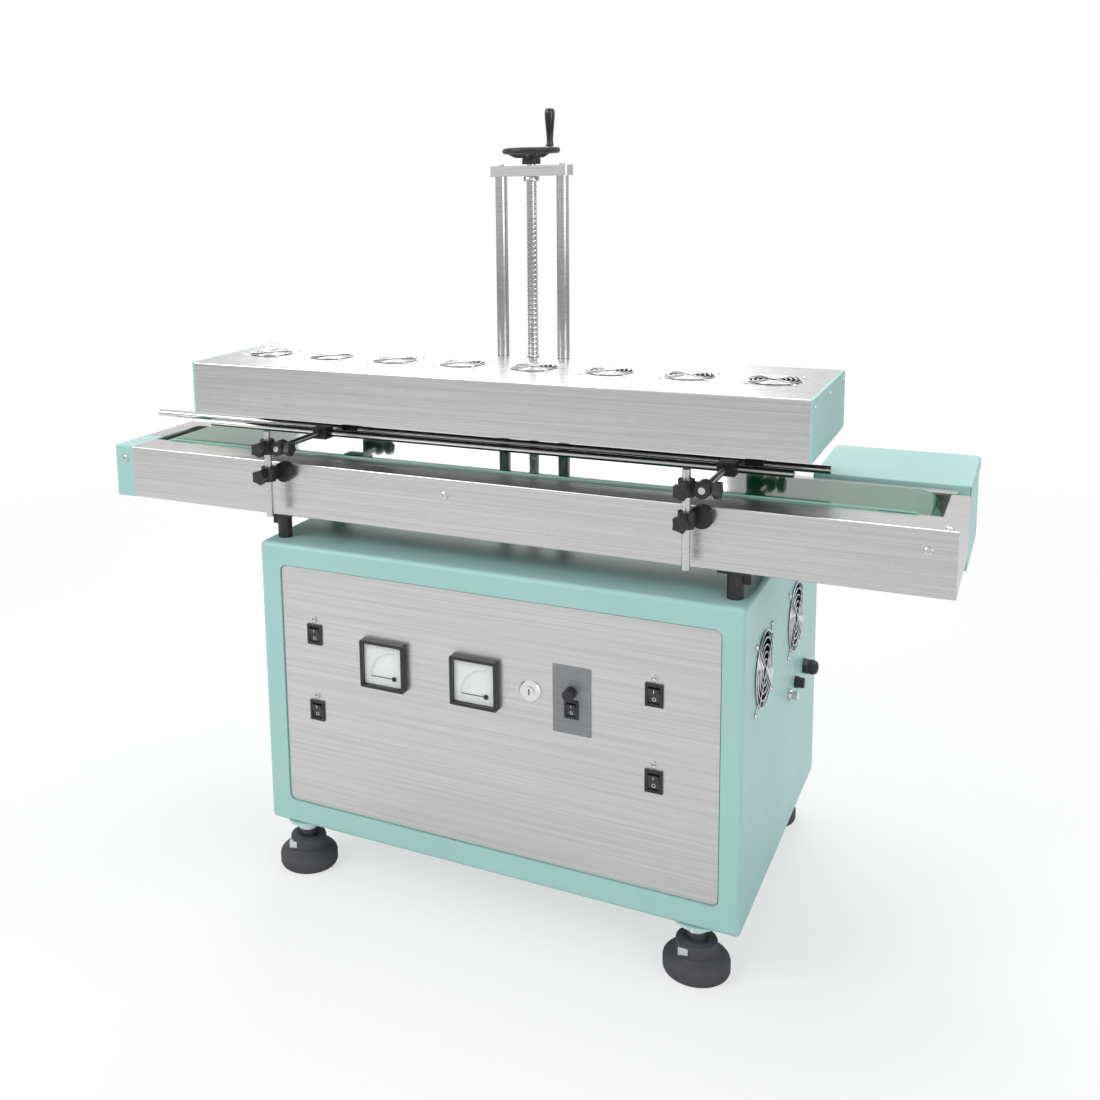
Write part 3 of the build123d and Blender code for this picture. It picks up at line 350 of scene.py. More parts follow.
@dataclass
class Shape:
    """A mesh under construction, with the few moves that every sub-assembly uses."""

    mesh: bmesh.types.BMesh = field(default_factory=bmesh.new)

    def _place(self, verts: list, turn: Matrix, at: Point) -> list:
        """Turns new vertices about the origin, then moves them to a place.

        Args:
            verts: The vertices just made.
            turn: A 3x3 rotation.
            at: Where the piece's own origin goes.

        Returns:
            The same vertices.
        """
        bmesh.ops.rotate(self.mesh, cent=(0, 0, 0), matrix=turn, verts=verts)
        bmesh.ops.translate(self.mesh, vec=at, verts=verts)
        return verts

    def lay(self, verts: list, at: Vector, normal: Vector) -> None:
        """Lays vertices made round the origin, facing up, on a face of a solid.

        Args:
            verts: The vertices.
            at: The point on the face.
            normal: The direction that the face looks.
        """
        self._place(verts, normal.to_track_quat("Z", "Y").to_matrix(), tuple(at))

    def turned(self, profile: Profile, at: Point, way: Way = Way.UP, steps: int = 32) -> list:
        """Turns a profile about its own axis.

        Args:
            profile: Radius and height of each point, from one end to the other.
            at: Where the profile's zero goes.
            way: The direction of the profile's height.
            steps: Sides of the full turn.

        Returns:
            The vertices of the new piece.
        """
        before = set(self.mesh.verts)
        points = [self.mesh.verts.new((r, 0.0, h)) for r, h in profile]
        edges = [self.mesh.edges.new(pair) for pair in zip(points, points[1:])]
        bmesh.ops.spin(
            self.mesh, geom=points + edges, cent=(0, 0, 0), axis=(0, 0, 1),
            angle=2 * math.pi, steps=steps, use_merge=True,
        )
        fresh = [v for v in self.mesh.verts if v not in before]
        bmesh.ops.remove_doubles(self.mesh, verts=fresh, dist=1e-7)
        fresh = [v for v in self.mesh.verts if v not in before]
        return self._place(fresh, way.value, at)

    def ring(self, major: float, minor: float, at: Point, way: Way = Way.UP,
             steps: int = 40, sides: int = 8) -> list:
        """A round wire bent into a closed ring.

        Args:
            major: Radius of the ring's middle line.
            minor: Radius of the wire.
            at: Centre of the ring.
            way: Direction of the ring's axis.
            steps: Sides round the ring.
            sides: Sides round the wire.

        Returns:
            The ring's vertices.
        """
        before = set(self.mesh.verts)
        made = bmesh.ops.create_circle(self.mesh, segments=sides, radius=minor)
        bmesh.ops.rotate(self.mesh, cent=(0, 0, 0), verts=made["verts"],
                         matrix=Matrix.Rotation(math.pi / 2, 3, "X"))
        bmesh.ops.translate(self.mesh, vec=(major, 0, 0), verts=made["verts"])
        edges = list({e for v in made["verts"] for e in v.link_edges})
        bmesh.ops.spin(
            self.mesh, geom=made["verts"] + edges, cent=(0, 0, 0), axis=(0, 0, 1),
            angle=2 * math.pi, steps=steps, use_merge=True,
        )
        fresh = [v for v in self.mesh.verts if v not in before]
        return self._place(fresh, way.value, at)

    def bar(self, start: Point, end: Point, radius: float, sides: int = 12,
            tip: float | None = None) -> list:
        """A round bar between two points.

        Args:
            start: Middle of the first end.
            end: Middle of the second end.
            radius: Radius at the start.
            sides: Sides round the bar.
            tip: Radius at the end, if it tapers.

        Returns:
            The bar's vertices.
        """
        run = Vector(end) - Vector(start)
        made = bmesh.ops.create_cone(
            self.mesh, cap_ends=True, segments=sides, radius1=radius,
            radius2=radius if tip is None else tip, depth=run.length,
        )
        turn = run.to_track_quat("Z", "Y").to_matrix()
        middle = (Vector(start) + Vector(end)) / 2
        return self._place(made["verts"], turn, tuple(middle))

    def block(self, low: Point, high: Point, edge: float = 0.0, segments: int = 2) -> list:
        """A block between two corners with rounded edges.

        Args:
            low: Lowest corner.
            high: Highest corner.
            edge: Radius of the rounded edges, or zero.
            segments: Faces across each rounded edge.

        Returns:
            The block's vertices.
        """
        before = set(self.mesh.verts)
        made = bmesh.ops.create_cube(self.mesh, size=1.0)
        size = [h - l for l, h in zip(low, high)]
        bmesh.ops.scale(self.mesh, vec=size, verts=made["verts"])
        middle = [(h + l) / 2 for l, h in zip(low, high)]
        bmesh.ops.translate(self.mesh, vec=middle, verts=made["verts"])
        if edge:
            edges = list({e for v in made["verts"] for e in v.link_edges})
            bmesh.ops.bevel(
                self.mesh, geom=edges, offset=edge, segments=segments, profile=0.5,
                affect="EDGES", material=-1,
            )
        return [v for v in self.mesh.verts if v not in before]

    def screw(self, at: Point, way: Way, radius: float, height: float) -> None:
        """A pan-head screw with a round recess sunk in its head.

        Args:
            at: Where the head sits on its face.
            way: The direction the head looks.
            radius: Radius of the head.
            height: Height of the head.
        """
        r, h = radius, height
        self.turned([(0, h * 0.35), (r * 0.34, h * 0.4), (r * 0.4, h), (r * 0.62, h * 0.93),
                     (r * 0.9, h * 0.62), (r, h * 0.2), (r, -0.0002), (0, -0.0002)], at, way, 20)

    def piece(self, name: str, finish: Finish | Glass, body: str, slot: str,
              crease: float = 35.0, smooth: bool = True) -> bpy.types.Object:
        """Closes the mesh and makes it a finished piece of the scene.

        Args:
            name: The piece's name.
            finish: Its finish.
            body: The body that it rides on.
            slot: The record's material slot that it belongs to; not used.
            crease: Angle in degrees past which an edge stays sharp.
            smooth: Whether its faces are shaded smooth.

        Returns:
            The new object.
        """
        bmesh.ops.recalc_face_normals(self.mesh, faces=list(self.mesh.faces))
        data = bpy.data.meshes.new(name)
        self.mesh.to_mesh(data)
        self.mesh.free()
        if smooth:
            data.shade_smooth()
            data.set_sharp_from_angle(angle=math.radians(crease))
        data.materials.append(finish.material())
        made = bpy.data.objects.new(name, data)
        bpy.context.scene.collection.objects.link(made)
        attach(made, body)
        log.info("piece %s: %d faces on %s", name, len(data.polygons), body)
        return made


@dataclass
class Frame:
    """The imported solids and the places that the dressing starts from."""

    packed: dict

    def low(self, node: str) -> Vector:
        """Lowest corner of a node."""
        return Vector(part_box(node)[0])

    def high(self, node: str) -> Vector:
        """Highest corner of a node."""
        return Vector(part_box(node)[1])

    def face(self, node: str, x: float, z: float) -> tuple[Vector, Vector]:
        """Finds where a solid's front is.

        Args:
            node: The solid's node.
            x: Place across the machine.
            z: Place above the floor.

        Returns:
            The first point that a line from the front meets, and the face's direction there.
        """
        solid = self.packed["nodes"][node]
        tree = BVHTree.FromPolygons([solid.matrix_world @ v.co for v in solid.data.vertices],
                                    [tuple(p.vertices) for p in solid.data.polygons])
        start = Vector((x, self.low(node).y - 0.01, z))
        point, normal, _, _ = tree.ray_cast(start, Vector((0.0, 1.0, 0.0)))
        return point, normal

    def finish(self, finish: Finish, *names: str) -> None:
        """Gives solids their finish.

        Args:
            finish: The finish that they take.
            names: The nodes.
        """
        for name in names:
            data = self.packed["nodes"][name].data
            data.materials.clear()
            data.materials.append(finish.material())


@dataclass
class Studio:
    """Camera, lamps and the pale floor."""

    frame: Frame
    lens: float = 40.493
    shift: tuple[float, float] = (0.1343, -0.1589)
    stand: Point = (0.77146, -1.65049, 1.19667)
    yaw: float = 0.4964
    pitch: float = 0.1649
    roll: float = 0.0275

    def camera(self) -> None:
        """Stands the camera where the photograph was taken from."""
        data = bpy.data.cameras.new("view")
        data.sensor_width = 36.0
        data.lens = self.lens
        data.shift_x, data.shift_y = self.shift
        data.clip_start = 0.05
        data.clip_end = 60.0
        camera = bpy.data.objects.new("view", data)
        bpy.context.scene.collection.objects.link(camera)
        low, high = self.frame.low("cabinet_body"), self.frame.high("cabinet_body")
        base = Vector(((low.x + high.x) / 2, low.y, 0.0))
        cy, sy = math.cos(self.yaw), math.sin(self.yaw)
        cp, sp = math.cos(self.pitch), math.sin(self.pitch)
        forward = Vector((-sy * cp, cy * cp, -sp))
        right = Vector((cy, sy, 0.0))
        down = forward.cross(right)
        cr, sr = math.cos(self.roll), math.sin(self.roll)
        across = cr * right + sr * down
        under = -sr * right + cr * down
        turn = Matrix((across, -under, -forward)).transposed()
        camera.matrix_world = Matrix.Translation(base + Vector(self.stand)) @ turn.to_4x4()
        bpy.context.scene.camera = camera

    def lamp(self, name: str, at: Point, aim: Point, size: float, power: float) -> None:
        """Adds a soft square lamp.

        Args:
            name: The lamp's name.
            at: Where it hangs.
            aim: The point that it looks at.
            size: Side of the square.
            power: Power in watts.
        """
        data = bpy.data.lights.new(name, "AREA")
        data.shape = "SQUARE"
        data.size = size
        data.energy = power
        lamp = bpy.data.objects.new(name, data)
        lamp.location = at
        lamp.rotation_euler = (Vector(aim) - Vector(at)).to_track_quat("-Z", "Y").to_euler()
        bpy.context.scene.collection.objects.link(lamp)

    def floor(self) -> None:
        """Lays a pale floor that keeps a soft shadow and runs into white."""
        mesh = bmesh.new()
        bmesh.ops.create_circle(mesh, cap_ends=True, segments=64, radius=14.0)
        data = bpy.data.meshes.new("studio_floor")
        mesh.to_mesh(data)
        mesh.free()
        floor = bpy.data.objects.new("studio_floor", data)
        bpy.context.scene.collection.objects.link(floor)
        made = bpy.data.materials.new("studio_floor")
        graph = Graph(made)
        matt = graph.node("BsdfDiffuse", Color=(0.86, 0.86, 0.86, 1.0))
        white = graph.node("Emission", Color=(1.0, 1.0, 1.0, 1.0), Strength=1.0)
        place = graph.node("TexCoord")
        length = graph.node("VectorMath", Vector=place.outputs["Object"])
        length.operation = "LENGTH"
        away = graph.node("MapRange")
        graph.put(away, 0, length.outputs["Value"])
        graph.put(away, "From Min", 0.9)
        graph.put(away, "From Max", 3.2)
        graph.put(away, "To Min", 0.62)
        graph.put(away, "To Max", 1.0)
        path = graph.node("LightPath")
        seen = graph.node("Math")
        seen.operation = "MAXIMUM"
        graph.put(seen, 0, path.outputs["Is Camera Ray"])
        graph.put(seen, 1, path.outputs["Is Transmission Ray"])
        share = graph.node("Math")
        share.operation = "MULTIPLY"
        graph.put(share, 0, seen.outputs[0])
        graph.put(share, 1, away.outputs[0])
        mix = graph.node("MixShader")
        graph.put(mix, 0, share.outputs[0])
        graph.put(mix, 1, matt.outputs[0])
        graph.put(mix, 2, white.outputs[0])
        graph.node("OutputMaterial", Surface=mix.outputs[0])
        data.materials.append(made)

    def world(self) -> None:
        """Sets a white surround for the camera and a softer one for the light."""
        world = bpy.data.worlds.new("surround")
        bpy.context.scene.world = world
        world.use_nodes = True
        tree = world.node_tree
        tree.nodes.clear()
        path = tree.nodes.new("ShaderNodeLightPath")
        place = tree.nodes.new("ShaderNodeTexCoord")
        split = tree.nodes.new("ShaderNodeSeparateXYZ")
        tree.links.new(place.outputs["Generated"], split.inputs[0])
        ramp = tree.nodes.new("ShaderNodeValToRGB")
        stops = [(0.0, 0.55), (0.45, 0.62), (0.56, 0.80), (1.0, 0.95)]
        while len(ramp.color_ramp.elements) < len(stops):
            ramp.color_ramp.elements.new(0.5)
        for element, (spot, level) in zip(ramp.color_ramp.elements, stops):
            element.position = spot
            element.color = (level, level, level * 1.005, 1.0)
        span = tree.nodes.new("ShaderNodeMapRange")
        span.inputs["From Min"].default_value = -1.0
        tree.links.new(split.outputs["Z"], span.inputs[0])
        tree.links.new(span.outputs[0], ramp.inputs[0])
        glossy = tree.nodes.new("ShaderNodeBackground")
        tree.links.new(ramp.outputs[0], glossy.inputs["Color"])
        soft = tree.nodes.new("ShaderNodeBackground")
        soft.inputs["Color"].default_value = (0.95, 0.97, 1.0, 1.0)
        soft.inputs["Strength"].default_value = 0.50
        white = tree.nodes.new("ShaderNodeBackground")
        white.inputs["Color"].default_value = (1.0, 1.0, 1.0, 1.0)
        first = tree.nodes.new("ShaderNodeMixShader")
        tree.links.new(path.outputs["Is Glossy Ray"], first.inputs[0])
        tree.links.new(soft.outputs[0], first.inputs[1])
        tree.links.new(glossy.outputs[0], first.inputs[2])
        second = tree.nodes.new("ShaderNodeMixShader")
        seen = tree.nodes.new("ShaderNodeMath")
        seen.operation = "MAXIMUM"
        tree.links.new(path.outputs["Is Camera Ray"], seen.inputs[0])
        tree.links.new(path.outputs["Is Transmission Ray"], seen.inputs[1])
        tree.links.new(seen.outputs[0], second.inputs[0])
        tree.links.new(first.outputs[0], second.inputs[1])
        tree.links.new(white.outputs[0], second.inputs[2])
        out = tree.nodes.new("ShaderNodeOutputWorld")
        tree.links.new(second.outputs[0], out.inputs[0])

    def build(self) -> None:
        """Sets the whole studio."""
        bpy.context.scene.view_settings.view_transform = "Standard"
        self.camera()
        self.world()
        self.floor()
        self.lamp("key", (-2.6, -3.2, 3.4), (0, 0, 0.6), 2.4, 95.0)
        self.lamp("fill", (3.6, -2.0, 2.0), (0, 0, 0.5), 2.6, 38.0)
        self.lamp("top", (0.3, 0.6, 3.8), (0, 0, 0.6), 2.4, 60.0)
        self.lamp("rear", (-1.5, 3.4, 2.6), (0, 0, 0.6), 2.2, 50.0)


@dataclass
class Cabinet:
    """The sheet cabinet with its inset panel, rear cover, feet and side fittings."""

    frame: Frame
    foot_left: float = 0.053
    foot_right: float = 0.070
    foot_front: float = 0.032
    foot_back: float = 0.045
    foot_radius: float = 0.050
    collar_radius: float = 0.031
    collar_top: float = 0.052
    stem_radius: float = 0.017

    def foot_places(self) -> list[tuple[float, float]]:
        """X and Y of the four feet."""
        low, high = self.frame.low("cabinet_body"), self.frame.high("cabinet_body")
        xs = (low.x + self.foot_left, high.x - self.foot_right)
        ys = (low.y + self.foot_front, high.y - self.foot_back)
        return [(x, y) for x in xs for y in ys]

    def feet(self) -> None:
        """Builds the four feet: dished pads, chrome stems, flanges and spring clips."""
        floor = self.frame.low("cabinet_body").z
        r, c, t, s = self.foot_radius, self.collar_radius, self.collar_top, self.stem_radius
        pads, stems, flanges, clips = Shape(), Shape(), Shape(), Shape()
        for x, y in self.foot_places():
            pads.turned([
                (0, 0.0), (r * 0.90, 0.0), (r * 0.97, 0.0015), (r, 0.005), (r, 0.0185),
                (r * 0.985, 0.0215), (r * 0.95, 0.0238), (r * 0.80, 0.0268), (c + 0.0015, 0.0298),
                (c, 0.0312), (c, t - 0.0035), (c * 0.97, t - 0.001), (c * 0.90, t),
                (s + 0.0035, t), (s + 0.001, t - 0.002), (0, t - 0.002),
            ], (x, y, 0), steps=56)
            stems.turned([
                (0, t - 0.003), (s * 0.96, t - 0.003), (s * 0.96, t + 0.004), (s, t + 0.005),
                (s, floor - 0.006), (s * 0.95, floor - 0.005), (0, floor - 0.005),
            ], (x, y, 0), steps=40)
            flanges.turned([
                (0, floor), (0.034, floor), (0.034, floor - 0.0045), (0.0335, floor - 0.005),
                (s, floor - 0.005), (0, floor - 0.005),
            ], (x, y, 0), steps=40)
            reach = c + 0.0004
            clips.block((x - 0.020, y - reach, t - 0.019), (x - 0.005, y - reach + 0.009, t - 0.004),
                        0.0008)
        pieces = [
            pads.piece("foot_pads", FOOT_BLACK, "frame", "foot_black"),
            stems.piece("foot_stems", CHROME, "frame", "foot_black"),
            flanges.piece("foot_flanges", MINT_PALE, "frame", "cabinet_paint"),
            clips.piece("foot_clips", CHROME, "frame", "chrome"),
        ]
        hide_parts("levelling_feet")

    def fittings(self) -> None:
        """Builds the cable gland and the two round fittings on the right wall."""
        low, high = self.frame.low("side_fittings"), self.frame.high("side_fittings")
        front = self.frame.low("cabinet_body").y
        wall = self.frame.high("cabinet_body").x
        z = (low.z + high.z) / 2
        black, steel = Shape(), Shape()
        y = front + 0.452
        black.turned([(0.0052, 0.0), (0.014, 0.0), (0.014, 0.0085), (0.0132, 0.0095),
                      (0.0052, 0.0095), (0.0052, 0.0)], (wall, y, z), Way.RIGHT, 6)
        black.turned([(0.0052, 0.0095), (0.0118, 0.0095), (0.0120, 0.011), (0.0120, 0.0185),
                      (0.0105, 0.0222), (0.0075, 0.0240), (0.0052, 0.0238), (0.0052, 0.0095)],
                     (wall, y, z), Way.RIGHT, 28)
        for i in range(18):
            angle = i * math.pi / 9
            dy, dz = 0.0119 * math.cos(angle), 0.0119 * math.sin(angle)
            black.bar((wall + 0.011, y + dy, z + dz), (wall + 0.018, y + dy, z + dz), 0.0008, 6)
        steel.turned([(0, 0.0155), (0.0062, 0.0155), (0.0070, 0.0148), (0.0070, 0.0065),
                      (0.0098, 0.0062), (0.0100, 0.0055), (0.0100, 0.0), (0, 0.0)],
                     (wall, front + 0.322, z), Way.RIGHT, 32)
        black.turned([(0, 0.0155), (0.0075, 0.0155), (0.0085, 0.0145), (0.0088, 0.0062),
                      (0.0100, 0.0058), (0.0100, 0.0), (0, 0.0)],
                     (wall, front + 0.378, z), Way.RIGHT, 32)
        gland = black.piece("side_gland", BLACK_PLASTIC, "frame", "black_plastic")
        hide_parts("side_fittings")
        steel.piece("side_socket", CHROME, "frame", "chrome")

    def cover_screws(self) -> None:
        """Sets the screws round the rear cover."""
        low, high = self.frame.low("rear_cover"), self.frame.high("rear_cover")
        screws = Shape()
        for i in range(5):
            x = low.x + 0.012 + i * (high.x - low.x - 0.024) / 4
            for z in (low.z + 0.012, high.z - 0.012):
                screws.screw((x, high.y, z), Way.BACK, 0.0042, 0.0024)
        for z in (0.5 * (low.z + high.z),):
            for x in (low.x + 0.012, high.x - 0.012):
                screws.screw((x, high.y, z), Way.BACK, 0.0042, 0.0024)
        screws.piece("cover_screws", ZINC, "frame", "plain_steel")

    def build(self) -> None:
        """Dresses the cabinet."""
        self.frame.finish(MINT, "cabinet_body", "rear_cover")
        self.frame.finish(PANEL_STEEL, "front_panel")
        self.feet()
        self.fittings()
        self.cover_screws()


@dataclass
class Conveyor:
    """The belt conveyor, its rollers, rails, motor box and buffers."""

    frame: Frame

    def screws(self) -> None:
        """Sets the screws on the rails and on the end cap."""
        low, high = self.frame.low("conveyor_frame"), self.frame.high("conveyor_frame")
        middle = (low.x + high.x) / 2
        top = high.z
        shape = Shape()
        for x, z in ((middle + 0.661, 0.691), (middle - 0.036, 0.694), (middle - 0.675, 0.698)):
            shape.screw((x, low.y, z), Way.FRONT, 0.0065, 0.003)
        for x, y in ((middle + 0.684, low.y + 0.015), (middle - 0.677, low.y + 0.051),
                     (middle - 0.677, low.y + 0.105)):
            shape.screw((x, y, top), Way.UP, 0.0050, 0.0026)
        shape.piece("rail_screws", ZINC, "frame", "plain_steel")

    def build(self) -> None:
        """Dresses the conveyor."""
        self.frame.finish(RAIL_STEEL, "conveyor_frame")
        self.frame.finish(MINT, "conveyor_end_cap", "motor_box", "motor_box_lid")
        self.frame.finish(BELT_GREEN, "conveyor_belt")
        self.frame.finish(BED_STEEL, "slider_bed", "drive_roller", "tail_roller")
        self.frame.finish(RUBBER, "conveyor_mounts")
        self.frame.finish(CAST_METAL, "gear_motor")
        self.screws()


@dataclass
class Fan:
    """One axial fan: its wire guard, its rotor and its fixing screws."""

    name: str
    centre: Point
    way: Way
    size: float
    body: str
    rotor_body: str
    rotor_node: str
    depth: float
    blades: int = 7

    def spot(self, x: float, y: float, z: float) -> Point:
        """A point of the fan's own axes, in the frame."""
        return tuple(Vector(self.centre) + self.way.value @ Vector((x, y, z)))

    def guard(self, wires: Shape, screws: Shape) -> None:
        """Adds the guard's rings, spokes and eyes, and the screws that hold it.

        Args:
            wires: Takes the wires.
            screws: Takes the screws.
        """
        wire = self.size * 0.0095
        outer = self.size / 2 - 0.0025
        rings = 5
        for i in range(rings):
            radius = outer * (1 - i * 0.185)
            wires.ring(radius, wire, self.spot(0, 0, wire * 1.05 + 0.0012), self.way, 44, 8)
        half = self.size * 0.4375
        turn = math.pi / 4
        for side in (0, 1):
            angle = turn + side * math.pi / 2
            c, s = math.cos(angle), math.sin(angle)
            reach = outer + 0.001
            wires.bar(self.spot(-reach * c, -reach * s, wire * 2.6 + 0.0012),
                      self.spot(reach * c, reach * s, wire * 2.6 + 0.0012), wire * 0.9, 8)
        for x in (-half, half):
            for y in (-half, half):
                wires.ring(self.size * 0.030, wire, self.spot(x, y, wire), self.way, 20, 6)
                inner = (outer / math.hypot(half, half)) * 0.97
                wires.bar(self.spot(x * inner, y * inner, wire), self.spot(x * 0.95, y * 0.95, wire),
                          wire * 0.9, 8)
                screws.screw(self.spot(x, y, wire * 1.5), self.way, self.size * 0.032, 0.0022)

    def rotor(self) -> None:
        """Builds the fan's hub with its curved, pitched blades."""
        shape = Shape()
        hub = self.size * 0.19
        top = -0.0024
        bottom = -self.depth * 0.85 + 0.001
        shape.turned([(0, top), (hub * 0.55, top), (hub * 0.60, top - 0.0004), (hub * 0.9, top),
                      (hub, top - 0.0012), (hub, bottom), (hub * 0.3, bottom), (0, bottom)],
                     (0, 0, 0), steps=40)
        tip = self.size / 2 - 0.0045
        rows, columns = 8, 8
        for i in range(self.blades):
            before = set(shape.mesh.verts)
            bmesh.ops.create_grid(shape.mesh, x_segments=columns, y_segments=rows, size=0.5)
            fresh = [v for v in shape.mesh.verts if v not in before]
            for vert in fresh:
                along, across = vert.co.x + 0.5, vert.co.y
                radius = hub * 0.9 + along * (tip - hub * 0.9)
                sweep = 0.55 * along * along
                angle = across * 0.80 + sweep + i * 2 * math.pi / self.blades
                middle = (top + bottom) / 2
                rise = across * (top - bottom) * (0.95 - 0.25 * along)
                crown = (0.25 - across * across) * self.size * 0.018
                vert.co = (radius * math.cos(angle), radius * math.sin(angle), middle + rise + crown)
            faces = list({f for v in fresh for f in v.link_faces})
            bmesh.ops.solidify(shape.mesh, geom=faces, thickness=0.0011)
        verts = list(shape.mesh.verts)
        bmesh.ops.rotate(shape.mesh, cent=(0, 0, 0), matrix=self.way.value, verts=verts)
        bmesh.ops.translate(shape.mesh, vec=self.centre, verts=verts)
        piece = shape.piece(self.name + "_rotor", FAN_BLACK, self.rotor_body, "black_plastic", 50.0)
        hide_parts(self.rotor_node)


@dataclass
class Fans:
    """The eight fans on the head and the two on the cabinet's side."""

    frame: Frame
    top_pitch: float = 0.1245
    top_size: float = 0.080
    side_size: float = 0.120
    depth: float = 0.025

    def build(self) -> None:
        """Builds every guard and rotor."""
        low, high = self.frame.low("top_fan_frames"), self.frame.high("top_fan_frames")
        plate = self.frame.high("head_cover").z
        wires, screws = Shape(), Shape()
        for i in range(8):
            x = (low.x + high.x) / 2 + (i - 3.5) * self.top_pitch
            fan = Fan(f"head_fan_{i + 1}", (x, (low.y + high.y) / 2, plate), Way.UP, self.top_size,
                      "head", f"top_rotor_{i + 1}", f"top_fan_rotor_{i + 1}", self.depth)
            fan.guard(wires, screws)
            fan.rotor()
        guard = wires.piece("head_fan_guards", CHROME, "head", "chrome", 60.0)
        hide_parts("top_fan_guards")
        screws.piece("head_fan_screws", ZINC, "head", "plain_steel")
        low, high = self.frame.low("side_fan_frames"), self.frame.high("side_fan_frames")
        wires, screws = Shape(), Shape()
        wall = self.frame.high("cabinet_body").x
        for i, y in enumerate((low.y + self.side_size / 2, high.y - self.side_size / 2)):
            fan = Fan(f"side_fan_{i + 1}", (wall, y, (low.z + high.z) / 2), Way.RIGHT, self.side_size,
                      "frame", f"side_rotor_{i + 1}", f"side_fan_rotor_{i + 1}", self.depth)
            fan.guard(wires, screws)
            fan.rotor()
        guard = wires.piece("side_fan_wires", CHROME, "frame", "chrome", 60.0)
        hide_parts("side_fan_guards")
        screws.piece("side_fan_screws", ZINC, "frame", "plain_steel")
        self.frame.finish(FAN_BLACK, "top_fan_frames", "side_fan_frames")


@dataclass
class Head:
    """The lifting head with its plates, coil and carriage."""

    frame: Frame

    def build(self) -> None:
        """Dresses the head."""
        self.frame.finish(HEAD_STEEL, "head_cover")
        self.frame.finish(MINT, "head_end_plates")
        self.frame.finish(BLACK_PLASTIC, "head_base_plate")
        self.frame.finish(PLATE_STEEL, "head_carriage")
        self.frame.finish(COPPER, "induction_coil")
        low, high = self.frame.low("head_end_plates"), self.frame.high("head_end_plates")
        screws = Shape()
        for y in (low.y + 0.014, (low.y + high.y) / 2, high.y - 0.014):
            screws.screw((low.x, y, high.z - 0.014), Way.LEFT, 0.0036, 0.002)
            screws.screw((high.x, y, high.z - 0.014), Way.RIGHT, 0.0036, 0.002)
        screws.piece("end_plate_screws", ZINC, "head", "plain_steel")


